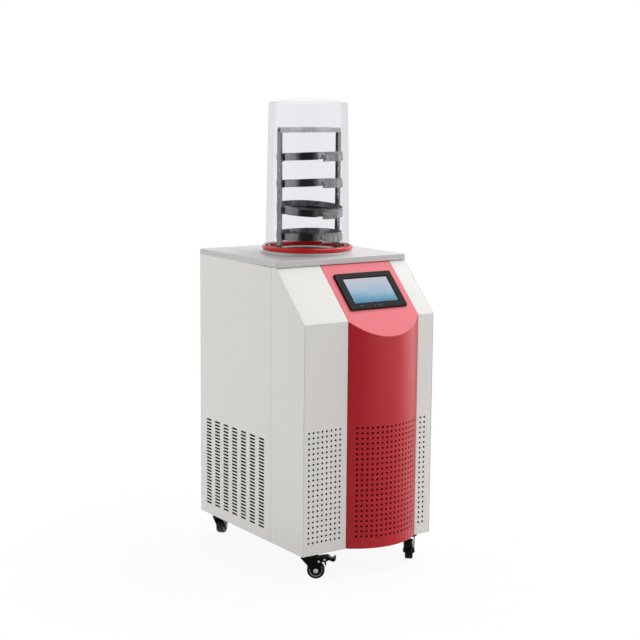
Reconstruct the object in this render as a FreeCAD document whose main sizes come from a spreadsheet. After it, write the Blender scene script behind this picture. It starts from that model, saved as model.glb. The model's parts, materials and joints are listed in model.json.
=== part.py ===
import FreeCAD, Part
import os
import re
import Sketcher
from FreeCAD import Placement, Rotation, Vector

# A floor-standing laboratory freeze dryer: a folded sheet cabinet on four swivel casters, with a 45 degree
# control slope, a bowed front panel, a stainless worktop, and a clear bell jar over a rack of four trays.
# X runs across (the user's right is +X), the user stands on the -Y side, and Z is up from the floor.

document = FreeCAD.newDocument("FreezeDryer")
sheet = document.addObject("Spreadsheet::Sheet", "Dimensions")
reading = document.addObject("App::VarSet", "Reading")
reading.addProperty("App::PropertyFloat", "Number")

dimensions = {
    # cabinet, measured from the flat front face, the centre line and the cabinet's lower edge
    "cabinet_wide": 450, "cabinet_deep": 567, "cabinet_high": 798, "caster_high": 76.5,
    "slope_setback": 143.5, "seam_back": 164.5, "sheet": 1.2, "fold_lip": 12, "return_deep": 14,
    "panel_gap": 0.6, "bend": 1.1, "base_thick": 3,
    # coloured band: a bowed panel below the fold and a flat fascia on the slope
    "band_left": -76.4, "band_right": 168.3, "bulge": 45, "panel_sheet": 1.5,
    # ventilation slots in each side
    "slot_long": 30, "slot_thin": 4, "slot_back": 217, "slot_low": 36, "slot_step": 50, "slot_rise": 10,
    "slot_columns": 7, "slot_rows": 27,
    # worktop and cold trap
    "worktop_high": 16.8, "worktop_lip": 4.2, "worktop_over": 0.6, "chamber_back": 321.5,
    "trap_hole": 105, "mouth_radius": 73, "flange_radius": 132, "flange_thick": 8.5,
    "pot_radius": 102, "pot_deep": 165, "pot_wall": 1.5, "jacket_radius": 107, "foam_radius": 140,
    "foam_floor": 30,
    # bell jar and its gasket, from the worktop's surface
    "seal_inner": 112.6, "seal_outer": 135, "seal_high": 22, "seal_round": 4, "seal_floor": 12,
    "bell_foot": 124.5, "bell_top": 116.5, "bell_shoulder": 433, "bell_round": 11, "bell_wall": 6,
    "bell_high": 453,
    # tray rack
    "rack_across": 3.8, "rack_ahead": 2.6, "post_out": 106.2, "post_wide": 20, "post_deep": 5.5,
    "post_high": 352.5, "rack_sheet": 1.2, "rack_high": 368.5, "bar_round": 7.5, "post_foot": 86.2,
    "lug_reach": 92.6, "lug_wide": 12, "lug_thick": 2, "post_hole": 2.5, "hoop_radius": 98,
    "hoop_high": 20, "hoop_ledge": 90.6, "hoop_gap": 15, "hoop_open": -102, "tray_radius": 96.2,
    "tray_floor": 93, "tray_high": 20, "tray_wall": 0.8,
    # rim heights above the worktop, and how far each shelf leans to the side and nods to the front
    "rim_top": 294, "lean_top": 1, "nod_top": -2.7,
    "rim_upper": 216, "lean_upper": 0.4, "nod_upper": -3.5,
    "rim_lower": 140, "lean_lower": 0.2, "nod_lower": 5,
    "rim_bottom": 63, "lean_bottom": 0.9, "nod_bottom": 0,
    # touch screen, centred on the slope by its distance across and up from the fold
    "screen_across": 46.9, "screen_up": 97.8, "bezel_wide": 198.8, "bezel_high": 128.2,
    "bezel_thick": 6, "bezel_round": 5, "glass_wide": 160, "glass_high": 94, "glass_thick": 2,
    "glass_seat": 3, "window_rim": 2.5, "case_wide": 178, "case_high": 108, "case_deep": 30,
    # refrigeration and fan
    "compressor_across": -95, "compressor_back": 400, "shell_radius": 70, "shell_high": 158,
    "shell_round": 48, "condenser_wide": 224, "condenser_deep": 44, "condenser_high": 262,
    "condenser_back": 28, "fin_step": 14, "fin_gap": 8, "fin_count": 15, "fan_high": 150,
    "fan_radius": 100, "collar_deep": 26, "blade_tip": 93, "hub_radius": 28, "motor_radius": 36,
    "motor_long": 46, "shaft_radius": 4, "blade_count": 5, "hub_bore": 16, "hub_wall": 5,
    "control_wide": 140, "control_deep": 150, "control_high": 96,
    # what the back carries
    "port_across": 130, "port_up": 170, "port_bore": 12, "port_reach": 28, "port_flange": 20,
    "drain_up": 72, "valve_size": 18, "lever_long": 34, "inlet_across": -150, "inlet_up": 120,
    "inlet_wide": 50, "inlet_high": 62, "inlet_deep": 24, "rocker_up": 17, "rocker_half": 9.3,
    "rocker_high": 12.4, "rocker_tilt": 8, "rocker_out": 0.5, "trunnion_radius": 1.2, "trunnion_long": 15,
    # casters, from the swivel axis under the base
    "caster_inset": 38, "caster_aside": 43, "plate_size": 60, "plate_thick": 2.5, "race_radius": 24, "race_high": 5,
    "fork_radius": 22, "fork_web": 5.5, "fork_gap": 27, "fork_wall": 2, "trail": 23,
    "wheel_radius": 25, "wheel_wide": 22, "axle_radius": 4, "running_gap": 0.06, "swivel_gap": 0.3,
    "kingpin_radius": 5, "pedal_pivot_out": 31, "pedal_pivot_down": 24, "pedal_wide": 23,
    "pin_radius": 2,
}

for row, (alias, number) in enumerate(dimensions.items(), 1):
    sheet.set(f"A{row}", alias)
    sheet.set(f"B{row}", str(number))
    sheet.setAlias(f"B{row}", alias)
document.recompute()


# ---- formulas, sketches and features ----

def linked(formula):
    # names the sheet in front of each alias
    return re.sub(r"[a-z_]+", lambda word: ("Dimensions." if word[0] in dimensions else "") + word[0], formula)


def bind(thing, setting, formula):
    thing.setExpression(setting, linked(formula))


def value(formula):
    bind(reading, "Number", formula)
    reading.recompute()
    return reading.Number


def new_body(name):
    body = document.addObject("PartDesign::Body", name)
    body.Label = name
    return body


def draw_on(body, plane, name, lift="0"):
    # a sketch on one of the body's origin planes, moved along the plane's normal
    drawing = body.newObject("Sketcher::SketchObject", name)
    face = next(part for part in body.Origin.OriginFeatures if part.Role == plane)
    drawing.AttachmentSupport = [(face, "")]
    drawing.MapMode = "FlatFace"
    bind(drawing, "AttachmentOffset.Base.z", lift)
    return drawing


def pin(drawing, geometry, point, x, y):
    # fixes a point of the sketch at formulas x and y
    for formula, kind, axis in ((x, "DistanceX", -2), (y, "DistanceY", -1)):
        if formula == "0":
            drawing.addConstraint(Sketcher.Constraint("PointOnObject", geometry, point, axis))
        else:
            place = drawing.addConstraint(Sketcher.Constraint(kind, -1, 1, geometry, point, value(formula)))
            bind(drawing, f"Constraints[{place}]", formula)


def round_edge(here, there, radius, centre_on_left):
    # the shorter arc between two points, with its centre on one side of the way there
    way = there - here
    half = way.Length / 2
    across = Vector(-way.y, way.x, 0).normalize() * (max(radius**2 - half**2, 0) ** 0.5)
    centre = (here + there) / 2 + (across if centre_on_left else -across)
    first, last = (here, there) if centre_on_left else (there, here)
    circle = Part.Circle(centre, Vector(0, 0, 1), radius)
    return Part.ArcOfCircle(circle, circle.parameter(first), circle.parameter(last))


def outline(drawing, corners):
    # a closed outline; a corner is (x, y), or (x, y, radius, side) where an arc leads on from it
    points = [Vector(value(corner[0]), value(corner[1]), 0) for corner in corners]
    first, count = drawing.GeometryCount, len(corners)
    starts = [1 if len(corner) == 2 or corner[3] == "left" else 2 for corner in corners]
    for k, corner in enumerate(corners):
        here, there = points[k], points[(k + 1) % count]
        if len(corner) == 2:
            drawing.addGeometry(Part.LineSegment(here, there), False)
        else:
            drawing.addGeometry(round_edge(here, there, value(corner[2]), corner[3] == "left"), False)
    for k, corner in enumerate(corners):
        following = (k + 1) % count
        ends = (first + k, 3 - starts[k], first + following, starts[following])
        drawing.addConstraint(Sketcher.Constraint("Coincident", *ends))
        pin(drawing, first + k, starts[k], corner[0], corner[1])
        if len(corner) == 4:
            place = drawing.addConstraint(Sketcher.Constraint("Radius", first + k, value(corner[2])))
            bind(drawing, f"Constraints[{place}]", corner[2])


def ring(drawing, x, y, radius):
    circle = Part.Circle(Vector(value(x), value(y), 0), Vector(0, 0, 1), value(radius))
    geometry = drawing.addGeometry(circle, False)
    place = drawing.addConstraint(Sketcher.Constraint("Radius", geometry, value(radius)))
    bind(drawing, f"Constraints[{place}]", radius)
    pin(drawing, geometry, 3, x, y)


def rectangle(drawing, low_x, low_y, high_x, high_y):
    outline(drawing, [(low_x, low_y), (high_x, low_y), (high_x, high_y), (low_x, high_y)])


def rounded(drawing, half_x, half_y, radius):
    # a rectangle about the sketch's origin, with round corners
    x, y, r = half_x, half_y, radius
    outline(drawing, [
        (f"{x}-{r}", f"-{y}", r, "left"), (f"{x}", f"-{y}+{r}"), (f"{x}", f"{y}-{r}", r, "left"),
        (f"{x}-{r}", f"{y}"), (f"-{x}+{r}", f"{y}", r, "left"), (f"-{x}", f"{y}-{r}"),
        (f"-{x}", f"-{y}+{r}", r, "left"), (f"-{x}+{r}", f"-{y}"),
    ])


def add(body, kind, drawing, length=None, middle=False, reverse=False):
    # a Pad or a Pocket; a pocket with no length goes right through both ways
    feature = body.newObject(f"PartDesign::{kind}", f"{kind}_{drawing.Name}")
    feature.Profile = drawing
    feature.Midplane = middle or length is None
    feature.Reversed = reverse
    if length is None:
        feature.Type = "ThroughAll"
    else:
        bind(feature, "Length", length)
    return feature


def pad(body, plane, lift, length, corners, middle=False):
    drawing = draw_on(body, plane, f"{body.Name}_pad", lift)
    outline(drawing, corners)
    return add(body, "Pad", drawing, length, middle)


def cut(body, plane, corners, lift="0", length=None, reverse=False):
    drawing = draw_on(body, plane, f"{body.Name}_cut", lift)
    outline(drawing, corners)
    return add(body, "Pocket", drawing, length, reverse=reverse)


def round_cut(body, plane, x, y, radius, lift="0", length=None, reverse=False):
    drawing = draw_on(body, plane, f"{body.Name}_bore", lift)
    ring(drawing, x, y, radius)
    return add(body, "Pocket", drawing, length, reverse=reverse)


def round_pad(body, plane, x, y, radius, lift, length, middle=False):
    drawing = draw_on(body, plane, f"{body.Name}_boss", lift)
    ring(drawing, x, y, radius)
    return add(body, "Pad", drawing, length, middle)


def turned(name, corners, plane="XZ_Plane", sweep="360"):
    # a body turned from a half profile of (radius, height) corners about its own upright sketch axis
    body = new_body(name)
    drawing = draw_on(body, plane, f"{name}_profile")
    outline(drawing, corners)
    turn = body.newObject("PartDesign::Revolution", f"{name}_turn")
    turn.Profile = drawing
    turn.ReferenceAxis = (drawing, ["V_Axis"])
    bind(turn, "Angle", sweep)
    return body


def repeat(body, feature, kind, direction, count, step=None):
    # a linear or polar pattern of one feature; a polar one fills the turn
    pattern = body.newObject(f"PartDesign::{kind}", f"{feature.Name}_{kind}")
    pattern.Originals = [feature]
    if kind == "LinearPattern":
        pattern.Direction = direction
        pattern.Mode = "Spacing"
        bind(pattern, "Offset", step)
    else:
        pattern.Axis = direction
        pattern.Angle = 360
    bind(pattern, "Occurrences", count)
    body.Tip = pattern
    return pattern


def soften(body, radius, chosen):
    # rounds the edges of the body's last feature that the test picks
    base = body.Tip
    names = [f"Edge{k}" for k, edge in enumerate(base.Shape.Edges, 1) if chosen(edge)]
    fillet = body.newObject("PartDesign::Fillet", f"{body.Name}_bend")
    fillet.Base = (base, names)
    bind(fillet, "Radius", radius)
    body.Tip = fillet


# ---- where things stand ----

front_face = "-(cabinet_deep+port_reach-bulge)/2"
worktop_top = "caster_high+cabinet_high+worktop_high"
fold = "(cabinet_high-slope_setback)"
half_wide = "cabinet_wide/2"
pieces = []


def keep(piece, x="0", y="0", z="0", turn=None):
    # a finished sub-part: its place in the whole, its turn, and its entry in the list that is written out
    piece.Placement = Placement(Vector(), turn or Rotation())
    for axis, formula in zip("xyz", (x, y, z)):
        bind(piece, f"Placement.Base.{axis}", formula)
    pieces.append(piece)
    return piece


def keep_in_cabinet(piece):
    return keep(piece, "0", front_face, "caster_high")


def keep_on_worktop(piece, rise="0", turn=None):
    return keep(piece, "0", f"{front_face}+chamber_back", f"{worktop_top}+{rise}", turn)


# ---- cabinet shell ----

def side_panel(name, side):
    # one sheet with a lip folded in along its back, its front and its foot
    web, inside, lip = (f"{side}*({half_wide}-{less})" for less in ("0", "sheet", "fold_lip"))
    ahead, behind = "seam_back+panel_gap", "cabinet_deep-sheet"
    body = new_body(name)
    pad(body, "XY_Plane", "0", "cabinet_high", [
        (web, ahead), (lip, ahead), (lip, f"{ahead}+sheet"), (inside, f"{ahead}+sheet"),
        (inside, f"{behind}-sheet"), (lip, f"{behind}-sheet"), (lip, behind), (web, behind),
    ])
    pad(body, "XY_Plane", "0", "sheet", [(web, ahead), (lip, ahead), (lip, behind), (web, behind)])
    low_y, low_z = "slot_back-slot_long/2", "slot_low-slot_thin/2"
    slot = cut(body, "YZ_Plane", [
        (low_y, low_z), (f"{low_y}+slot_long", low_z),
        (f"{low_y}+slot_long", f"{low_z}+slot_thin"), (low_y, f"{low_z}+slot_thin"),
    ])
    grid = repeat(body, slot, "LinearPattern", (slot.Profile[0], ["H_Axis"]), "slot_columns", "slot_step")
    grid.Direction2 = (slot.Profile[0], ["V_Axis"])
    grid.Mode2 = "Spacing"
    bind(grid, "Offset2", "slot_rise")
    bind(grid, "Occurrences2", "slot_rows")
    keep_in_cabinet(body)


def inside_of(depth):
    # how far the fold's inner corner drops for a wall of this depth, both legs being offset alike
    return f"{fold}-{depth}*(sqrt(2)-1)"


def front_cover(name, low, high, wall_at, return_at):
    # one folded sheet: front and slope strips, a side wall back to the seam, and a return beside the band
    body = new_body(name)

    def leg(lift, length, depth):
        pad(body, "YZ_Plane", lift, length, [
            ("0", "0"), ("0", fold), ("slope_setback", "cabinet_high"),
            ("slope_setback", f"cabinet_high-{depth}*sqrt(2)"), (depth, inside_of(depth)), (depth, "0"),
        ])

    leg(low, f"{high}-({low})", "sheet")
    leg(return_at, "sheet", "return_deep")
    pad(body, "YZ_Plane", wall_at, "sheet", [
        ("0", "0"), ("0", fold), ("slope_setback", "cabinet_high"), ("seam_back", "cabinet_high"),
        ("seam_back", "0"),
    ])
    document.recompute()
    setback, fold_height, bend = value("slope_setback"), value(fold), value("bend")

    def outside_bend(edge):
        middle = edge.CenterOfMass
        on_front = abs(middle.y) < 0.01 and edge.Length > 0.9 * fold_height
        on_slope = abs(middle.y - setback / 2) < 0.01 and abs(middle.z - fold_height - setback / 2) < 0.01
        at_side = min(abs(middle.x - value(low)), abs(middle.x - value(high))) < 0.01
        return edge.Length > 10 * bend and at_side and (on_front or on_slope)

    soften(body, "bend", outside_bend)
    keep_in_cabinet(body)


band_half, band_middle = "((band_right-band_left)/2)", "(band_left+band_right)/2"
bow = f"(({band_half}^2+bulge^2)/(2*bulge))"
bow_inner = f"({bow}-panel_sheet)"
inner_end = f"{bow}-bulge-sqrt({bow_inner}^2-({band_half}-panel_sheet)^2)"


def front_panel():
    # a bowed sheet with a straight return along each side, mitred along its top to lie under the fascia
    body = new_body("front_panel")
    left, right = "band_left+panel_sheet", "band_right-panel_sheet"
    pad(body, "XY_Plane", "0", f"{fold}+return_deep", [
        ("band_left", "0", bow, "left"), ("band_right", "0"), ("band_right", "return_deep"),
        (right, "return_deep"), (right, inner_end, bow_inner, "right"), (left, inner_end),
        (left, "return_deep"), ("band_left", "return_deep"),
    ])
    mitre, ahead, behind = f"{fold}-panel_sheet*sqrt(2)", "(bulge*2)", "(return_deep*2)"
    cut(body, "YZ_Plane", [
        (f"-{ahead}", f"{mitre}-{ahead}"), (behind, f"{mitre}+{behind}"), (f"-{ahead}", f"{mitre}+{behind}"),
    ])
    keep_in_cabinet(body)


def slope_fascia():
    # the flat 45 degree plate; its foot overhangs the fold and is trimmed to the bow in plan
    body = new_body("slope_fascia")
    foot, drop = "(bulge+1)", "panel_sheet*sqrt(2)"
    pad(body, "YZ_Plane", "band_left", "band_right-band_left", [
        (f"-{foot}", f"{fold}-{foot}"), ("slope_setback", "cabinet_high"),
        ("slope_setback", f"cabinet_high-{drop}"), (f"-{foot}", f"{fold}-{foot}-{drop}"),
    ])
    cut(body, "XY_Plane", [
        ("band_left", "0", bow, "left"), ("band_right", "0"), ("band_right", "-bulge*2"),
        ("band_left", "-bulge*2"),
    ])
    opening = draw_on(body, "XY_Plane", "case_opening", fold)
    opening.AttachmentOffset = Placement(Vector(), Rotation(Vector(1, 0, 0), 45))
    low_x, low_y = "screen_across-case_wide/2-panel_gap", "screen_up-case_high/2-panel_gap"
    high_x, high_y = "screen_across+case_wide/2+panel_gap", "screen_up+case_high/2+panel_gap"
    rectangle(opening, low_x, low_y, high_x, high_y)
    add(body, "Pocket", opening)
    keep_in_cabinet(body)


def rear_panel():
    body = new_body("rear_panel")
    pad(body, "XY_Plane", "0", "cabinet_high", [
        (f"-{half_wide}", "cabinet_deep-sheet"), (half_wide, "cabinet_deep-sheet"),
        (half_wide, "cabinet_deep"), (f"-{half_wide}", "cabinet_deep"),
    ])
    round_cut(body, "XZ_Plane", "port_across", "port_up", "port_bore+2")
    round_cut(body, "XZ_Plane", "port_across", "drain_up", "valve_size/3")
    half_x, half_z = "(inlet_wide/2-2)", "(inlet_high/2-2)"
    cut(body, "XZ_Plane", [
        (f"inlet_across-{half_x}", f"inlet_up-{half_z}"), (f"inlet_across+{half_x}", f"inlet_up-{half_z}"),
        (f"inlet_across+{half_x}", f"inlet_up+{half_z}"), (f"inlet_across-{half_x}", f"inlet_up+{half_z}"),
    ])
    keep_in_cabinet(body)


def base_plate():
    # reaches forward into the covers and the bow, notched round their returns
    body = new_body("base_plate")
    slack = "0.2"
    ahead, notch = f"sheet+{slack}", f"return_deep+{slack}"
    cover_side, side, back = f"({half_wide}-sheet-{slack})", f"({half_wide}-fold_lip)", "cabinet_deep-sheet*2"
    bow_side = f"({band_half}-panel_sheet-{slack})"
    bow_end = f"{bow}-bulge-sqrt(({bow_inner}-{slack})^2-{bow_side}^2)"
    left_gap, right_gap = f"band_left-panel_gap-sheet-{slack}", f"band_right+panel_gap+sheet+{slack}"
    left_bow, right_bow = f"{band_middle}-{bow_side}", f"{band_middle}+{bow_side}"
    pad(body, "XY_Plane", "0", "base_thick", [
        (f"-{cover_side}", ahead), (left_gap, ahead), (left_gap, notch), (left_bow, notch),
        (left_bow, bow_end, f"{bow_inner}-{slack}", "left"), (right_bow, bow_end), (right_bow, notch),
        (right_gap, notch), (right_gap, ahead), (cover_side, ahead), (cover_side, "seam_back"),
        (side, "seam_back"), (side, back), (f"-{side}", back), (f"-{side}", "seam_back"),
        (f"-{cover_side}", "seam_back"),
    ])
    keep_in_cabinet(body)


def worktop():
    # a shallow folded tray turned upside down, with the cold trap's opening in it
    body = new_body("worktop")
    side, ahead, back = f"{half_wide}+worktop_over", "slope_setback-worktop_lip", "cabinet_deep+worktop_over"
    pad(body, "XY_Plane", "cabinet_high", "worktop_high", [
        (f"-({side})", ahead), (side, ahead), (side, back), (f"-({side})", back),
    ])
    inner = f"{side}-sheet"
    cut(body, "XY_Plane", [
        (f"-({inner})", f"{ahead}+sheet"), (inner, f"{ahead}+sheet"), (inner, f"{back}-sheet"),
        (f"-({inner})", f"{back}-sheet"),
    ], "cabinet_high", "worktop_high-sheet", reverse=True)
    round_cut(body, "XY_Plane", "0", "chamber_back", "trap_hole")
    document.recompute()
    top, reach = value("cabinet_high+worktop_high"), value(side)

    def outer_edge(edge):
        middle, straight = edge.CenterOfMass, edge.Curve.TypeId == "Part::GeomLine"
        upright = abs(abs(middle.x) - reach) < 0.01 and abs(edge.Length - value("worktop_high")) < 0.01
        return straight and (abs(middle.z - top) < 0.01 or upright)

    soften(body, "bend", outer_edge)
    keep_in_cabinet(body)


# ---- cold trap ----

def chamber_flange():
    keep_on_worktop(turned("chamber_flange", [
        ("mouth_radius", "0"), ("flange_radius", "0"), ("flange_radius", "flange_thick"),
        ("mouth_radius+1", "flange_thick"), ("mouth_radius", "flange_thick-1"),
    ]))


def cold_trap_pot():
    keep_on_worktop(turned("cold_trap_pot", [
        ("0", "-pot_deep"), ("pot_radius-8", "-pot_deep"), ("pot_radius", "-pot_deep+8"),
        ("pot_radius", "0"), ("pot_radius-pot_wall", "0"), ("pot_radius-pot_wall", "-pot_deep+8.6"),
        ("pot_radius-8.6", "-pot_deep+pot_wall"), ("0", "-pot_deep+pot_wall"),
    ]))


def evaporator_jacket():
    low, high = "-pot_deep+14", "-worktop_high-6"
    keep_on_worktop(turned("evaporator_jacket", [
        ("pot_radius", low), ("jacket_radius", low), ("jacket_radius", high), ("pot_radius", high),
    ]))


def trap_insulation():
    keep_on_worktop(turned("trap_insulation", [
        ("0", "-pot_deep-foam_floor"), ("foam_radius", "-pot_deep-foam_floor"), ("foam_radius", "-sheet"),
        ("jacket_radius", "-sheet"), ("jacket_radius", "-pot_deep"), ("0", "-pot_deep"),
    ]))


# ---- bell jar ----

def seal_ring():
    inner, outer = "bell_foot-bell_wall-0.3", "bell_foot+0.3"
    keep_on_worktop(turned("seal_ring", [
        ("seal_inner", "flange_thick"), ("seal_outer", "flange_thick"),
        ("seal_outer", "seal_high-seal_round", "seal_round", "left"),
        ("seal_outer-seal_round", "seal_high"), (outer, "seal_high"), (outer, "seal_floor"),
        (inner, "seal_floor"), (inner, "seal_high"), ("seal_inner", "seal_high"),
    ]))


def bell_jar():
    # tapering wall, tight shoulder and a crown that is part of a sphere, which the shoulder's arc runs into;
    # the inside follows the outside at the wall's depth
    across, rise = "(bell_top-bell_round)", "(bell_high-bell_shoulder)"
    sphere = f"(({across}^2+{rise}^2-bell_round^2)/(2*({rise}-bell_round)))"

    def crown_edge(depth):
        turn = f"(bell_round-{depth})"
        share = f"({turn}/({sphere}-bell_round))"
        return turn, f"{across}*(1+{share})", f"bell_shoulder+({sphere}-{rise})*{share}"

    turn, edge_x, edge_z = crown_edge("0")
    turn_in, edge_in_x, edge_in_z = crown_edge("bell_wall")
    keep_on_worktop(turned("bell_jar", [
        ("bell_foot-bell_wall", "seal_floor"), ("bell_foot", "seal_floor"),
        ("bell_top", "bell_shoulder", turn, "left"), (edge_x, edge_z, sphere, "left"), ("0", "bell_high"),
        ("0", "bell_high-bell_wall", f"({sphere}-bell_wall)", "right"),
        (edge_in_x, edge_in_z, turn_in, "right"), ("bell_top-bell_wall", "bell_shoulder"),
    ]))


# ---- tray rack ----

def keep_on_rack(piece, rise="0", turn=None):
    # the rack stands a little to the right and front of the bell's middle
    return keep(piece, "rack_across", f"{front_face}+chamber_back-rack_ahead", f"{worktop_top}+{rise}", turn)


tiers = ["top", "upper", "lower", "bottom"]


def hoop_floor(tier):
    return f"(rim_{tier}-tray_high-rack_sheet)"


def rack_post(name, side):
    # a channel open towards the trays, with a foot, a lug under each hoop and holes between them
    out, tip, web = (f"{side}*({x})" for x in ("post_out", "post_out-post_deep", "post_out-rack_sheet"))
    half, inner = "(post_wide/2)", "(post_wide/2-rack_sheet)"
    body = new_body(name)
    pad(body, "XY_Plane", "flange_thick", "post_high-flange_thick", [
        (out, f"-{half}"), (tip, f"-{half}"), (tip, f"-{inner}"), (web, f"-{inner}"), (web, inner),
        (tip, inner), (tip, half), (out, half),
    ])
    foot = f"{side}*post_foot"
    pad(body, "XY_Plane", "flange_thick", "rack_sheet", [
        (web, f"-{inner}"), (foot, f"-{inner}"), (foot, inner), (web, inner),
    ])
    for tier in tiers:
        # the side that leans down is met at the hoop's edge, the side that leans up at the lug's tip
        uphill = side * value(f"lean_{tier}") > 0
        met_at = "lug_reach" if uphill else "hoop_radius"
        dip = f"lug_wide/2*sin(abs(nod_{tier})*1deg)"
        top = f"{hoop_floor(tier)}+{side}*{met_at}*sin(lean_{tier}*1deg)-{dip}"
        reach = f"{side}*lug_reach"
        pad(body, "XY_Plane", f"{top}-lug_thick", "lug_thick", [
            (web, "-lug_wide/2"), (reach, "-lug_wide/2"), (reach, "lug_wide/2"), (web, "lug_wide/2"),
        ])
    for above, below in zip(tiers, tiers[1:]):
        round_cut(body, "YZ_Plane", "0", f"(rim_{above}+rim_{below})/2-hoop_high/2", "post_hole")
    keep_on_rack(body)


def rack_crossbar():
    # a rolled channel, open below, that lies across both posts
    half, inner, turn = "(post_wide/2-rack_sheet)", "(post_wide/2-2*rack_sheet)", "bar_round"
    roof, soffit, inner_turn = "rack_high", "rack_high-rack_sheet", "(bar_round-rack_sheet)"
    body = new_body("rack_crossbar")
    pad(body, "YZ_Plane", "0", "2*post_out", [
        (half, "post_high"), (half, f"{roof}-{turn}", turn, "left"), (f"{half}-{turn}", roof),
        (f"-{half}+{turn}", roof, turn, "left"), (f"-{half}", f"{roof}-{turn}"), (f"-{half}", "post_high"),
        (f"-{inner}", "post_high"), (f"-{inner}", f"{soffit}-{inner_turn}", inner_turn, "right"),
        (f"-{inner}+{inner_turn}", soffit), (f"{inner}-{inner_turn}", soffit, inner_turn, "right"),
        (inner, f"{soffit}-{inner_turn}"), (inner, "post_high"),
    ], middle=True)
    keep_on_rack(body)


def shelf(tier, number):
    # a split hoop with a ledge inside its foot, and the dished tray that sits in it
    band = "hoop_radius-rack_sheet"
    hoop = turned(f"rack_hoop_{number}", [
        ("hoop_ledge", "0"), ("hoop_radius", "0"), ("hoop_radius", "hoop_high"), (band, "hoop_high"),
        (band, "rack_sheet"), ("hoop_ledge", "rack_sheet"),
    ], sweep="360-hoop_gap")
    tray = turned(f"tray_{number}", [
        ("0", "rack_sheet"), ("tray_floor", "rack_sheet"), ("tray_radius-1", "rack_sheet+3"),
        ("tray_radius", "rack_sheet+tray_high"), ("tray_radius-tray_wall", "rack_sheet+tray_high"),
        ("tray_radius-1-tray_wall", "rack_sheet+3+tray_wall/2"),
        ("tray_floor-tray_wall/2", "rack_sheet+tray_wall"), ("0", "rack_sheet+tray_wall"),
    ])
    lean = Rotation(Vector(0, 1, 0), -value(f"lean_{tier}"))
    nod = Rotation(Vector(1, 0, 0), value(f"nod_{tier}"))
    gap = Rotation(Vector(0, 0, 1), value("hoop_open+hoop_gap/2"))
    keep_on_rack(hoop, hoop_floor(tier), lean * nod * gap)
    keep_on_rack(tray, hoop_floor(tier), lean * nod)


# ---- touch screen ----

def keep_on_slope(piece):
    rise = "screen_up*cos(45deg)"
    keep(piece, "screen_across", f"{front_face}+{rise}", f"caster_high+{fold}+{rise}",
         Rotation(Vector(1, 0, 0), 45))


def screen_bezel():
    body = new_body("screen_bezel")
    frame = draw_on(body, "XY_Plane", "bezel_outline")
    rounded(frame, "(bezel_wide/2)", "(bezel_high/2)", "bezel_round")
    add(body, "Pad", frame, "bezel_thick")
    x, y, rim = "(glass_wide/2+0.2)", "(glass_high/2+0.2)", "window_rim"
    cut(body, "XY_Plane", [
        (f"-{x}", f"-{y}"), (x, f"-{y}"), (x, y), (f"-{x}", y),
    ], "bezel_thick", "bezel_thick-glass_seat")
    cut(body, "XY_Plane", [
        (f"-{x}+{rim}", f"-{y}+{rim}"), (f"{x}-{rim}", f"-{y}+{rim}"), (f"{x}-{rim}", f"{y}-{rim}"),
        (f"-{x}+{rim}", f"{y}-{rim}"),
    ])
    document.recompute()
    soften(body, "bend", lambda edge: abs(edge.BoundBox.ZMin - value("bezel_thick")) < 0.01
           and max(abs(edge.CenterOfMass.x) - value("glass_wide/2"),
                   abs(edge.CenterOfMass.y) - value("glass_high/2")) > 5)
    keep_on_slope(body)


def screen_glass():
    body = new_body("screen_glass")
    pad(body, "XY_Plane", "glass_seat", "glass_thick", [
        ("-glass_wide/2", "-glass_high/2"), ("glass_wide/2", "-glass_high/2"),
        ("glass_wide/2", "glass_high/2"), ("-glass_wide/2", "glass_high/2"),
    ])
    keep_on_slope(body)


def screen_case():
    body = new_body("screen_case")
    pad(body, "XY_Plane", "-case_deep", "case_deep", [
        ("-case_wide/2", "-case_high/2"), ("case_wide/2", "-case_high/2"),
        ("case_wide/2", "case_high/2"), ("-case_wide/2", "case_high/2"),
    ])
    keep_on_slope(body)


# ---- refrigeration, fan and controls ----

def compressor():
    # a welded steel shell with a seam round its middle, on a pressed base
    belly, seam = "shell_high*0.45", "shell_radius+6"
    body = turned("compressor", [
        ("0", "6"), ("shell_radius-12", "6"), ("shell_radius", "18"), ("shell_radius", belly), (seam, belly),
        (seam, f"{belly}+5"), ("shell_radius", f"{belly}+5"),
        ("shell_radius", "shell_high-shell_round"),
        ("shell_radius-shell_round*0.3", "shell_high-shell_round*0.3"),
        ("shell_radius-shell_round", "shell_high"), ("0", "shell_high"),
    ])
    half = "shell_radius+14"
    pad(body, "XY_Plane", "0", "8", [
        (f"-({half})", "-50"), (half, "-50"), (half, "50"), (f"-({half})", "50"),
    ])
    keep(body, "compressor_across", f"{front_face}+compressor_back", "caster_high+base_thick")


def condenser():
    # a finned block between two end plates that stand on the base
    body = new_body("condenser")
    half, back = "(condenser_wide/2)", "condenser_back"
    pad(body, "XY_Plane", "base_thick", "condenser_high", [
        (f"-{half}", back), (half, back), (half, f"{back}+condenser_deep"), (f"-{half}", f"{back}+condenser_deep"),
    ])
    cut(body, "YZ_Plane", [
        (f"{back}-1", "0"), (f"{back}+condenser_deep+1", "0"), (f"{back}+condenser_deep+1", "40"),
        (f"{back}-1", "40"),
    ], f"-{half}+4", "condenser_wide-8", reverse=True)
    first = "-fin_step*(fin_count-1)/2"
    gap = cut(body, "XY_Plane", [
        (f"{first}-fin_gap/2", f"{back}-1"), (f"{first}+fin_gap/2", f"{back}-1"),
        (f"{first}+fin_gap/2", f"{back}+condenser_deep-6"), (f"{first}-fin_gap/2", f"{back}+condenser_deep-6"),
    ], "condenser_high-8", "condenser_high-64")
    repeat(body, gap, "LinearPattern", (gap.Profile[0], ["H_Axis"]), "fin_count", "fin_step")
    keep(body, band_middle, front_face, "caster_high")


fan_plane = "condenser_back+condenser_deep+4"


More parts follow.
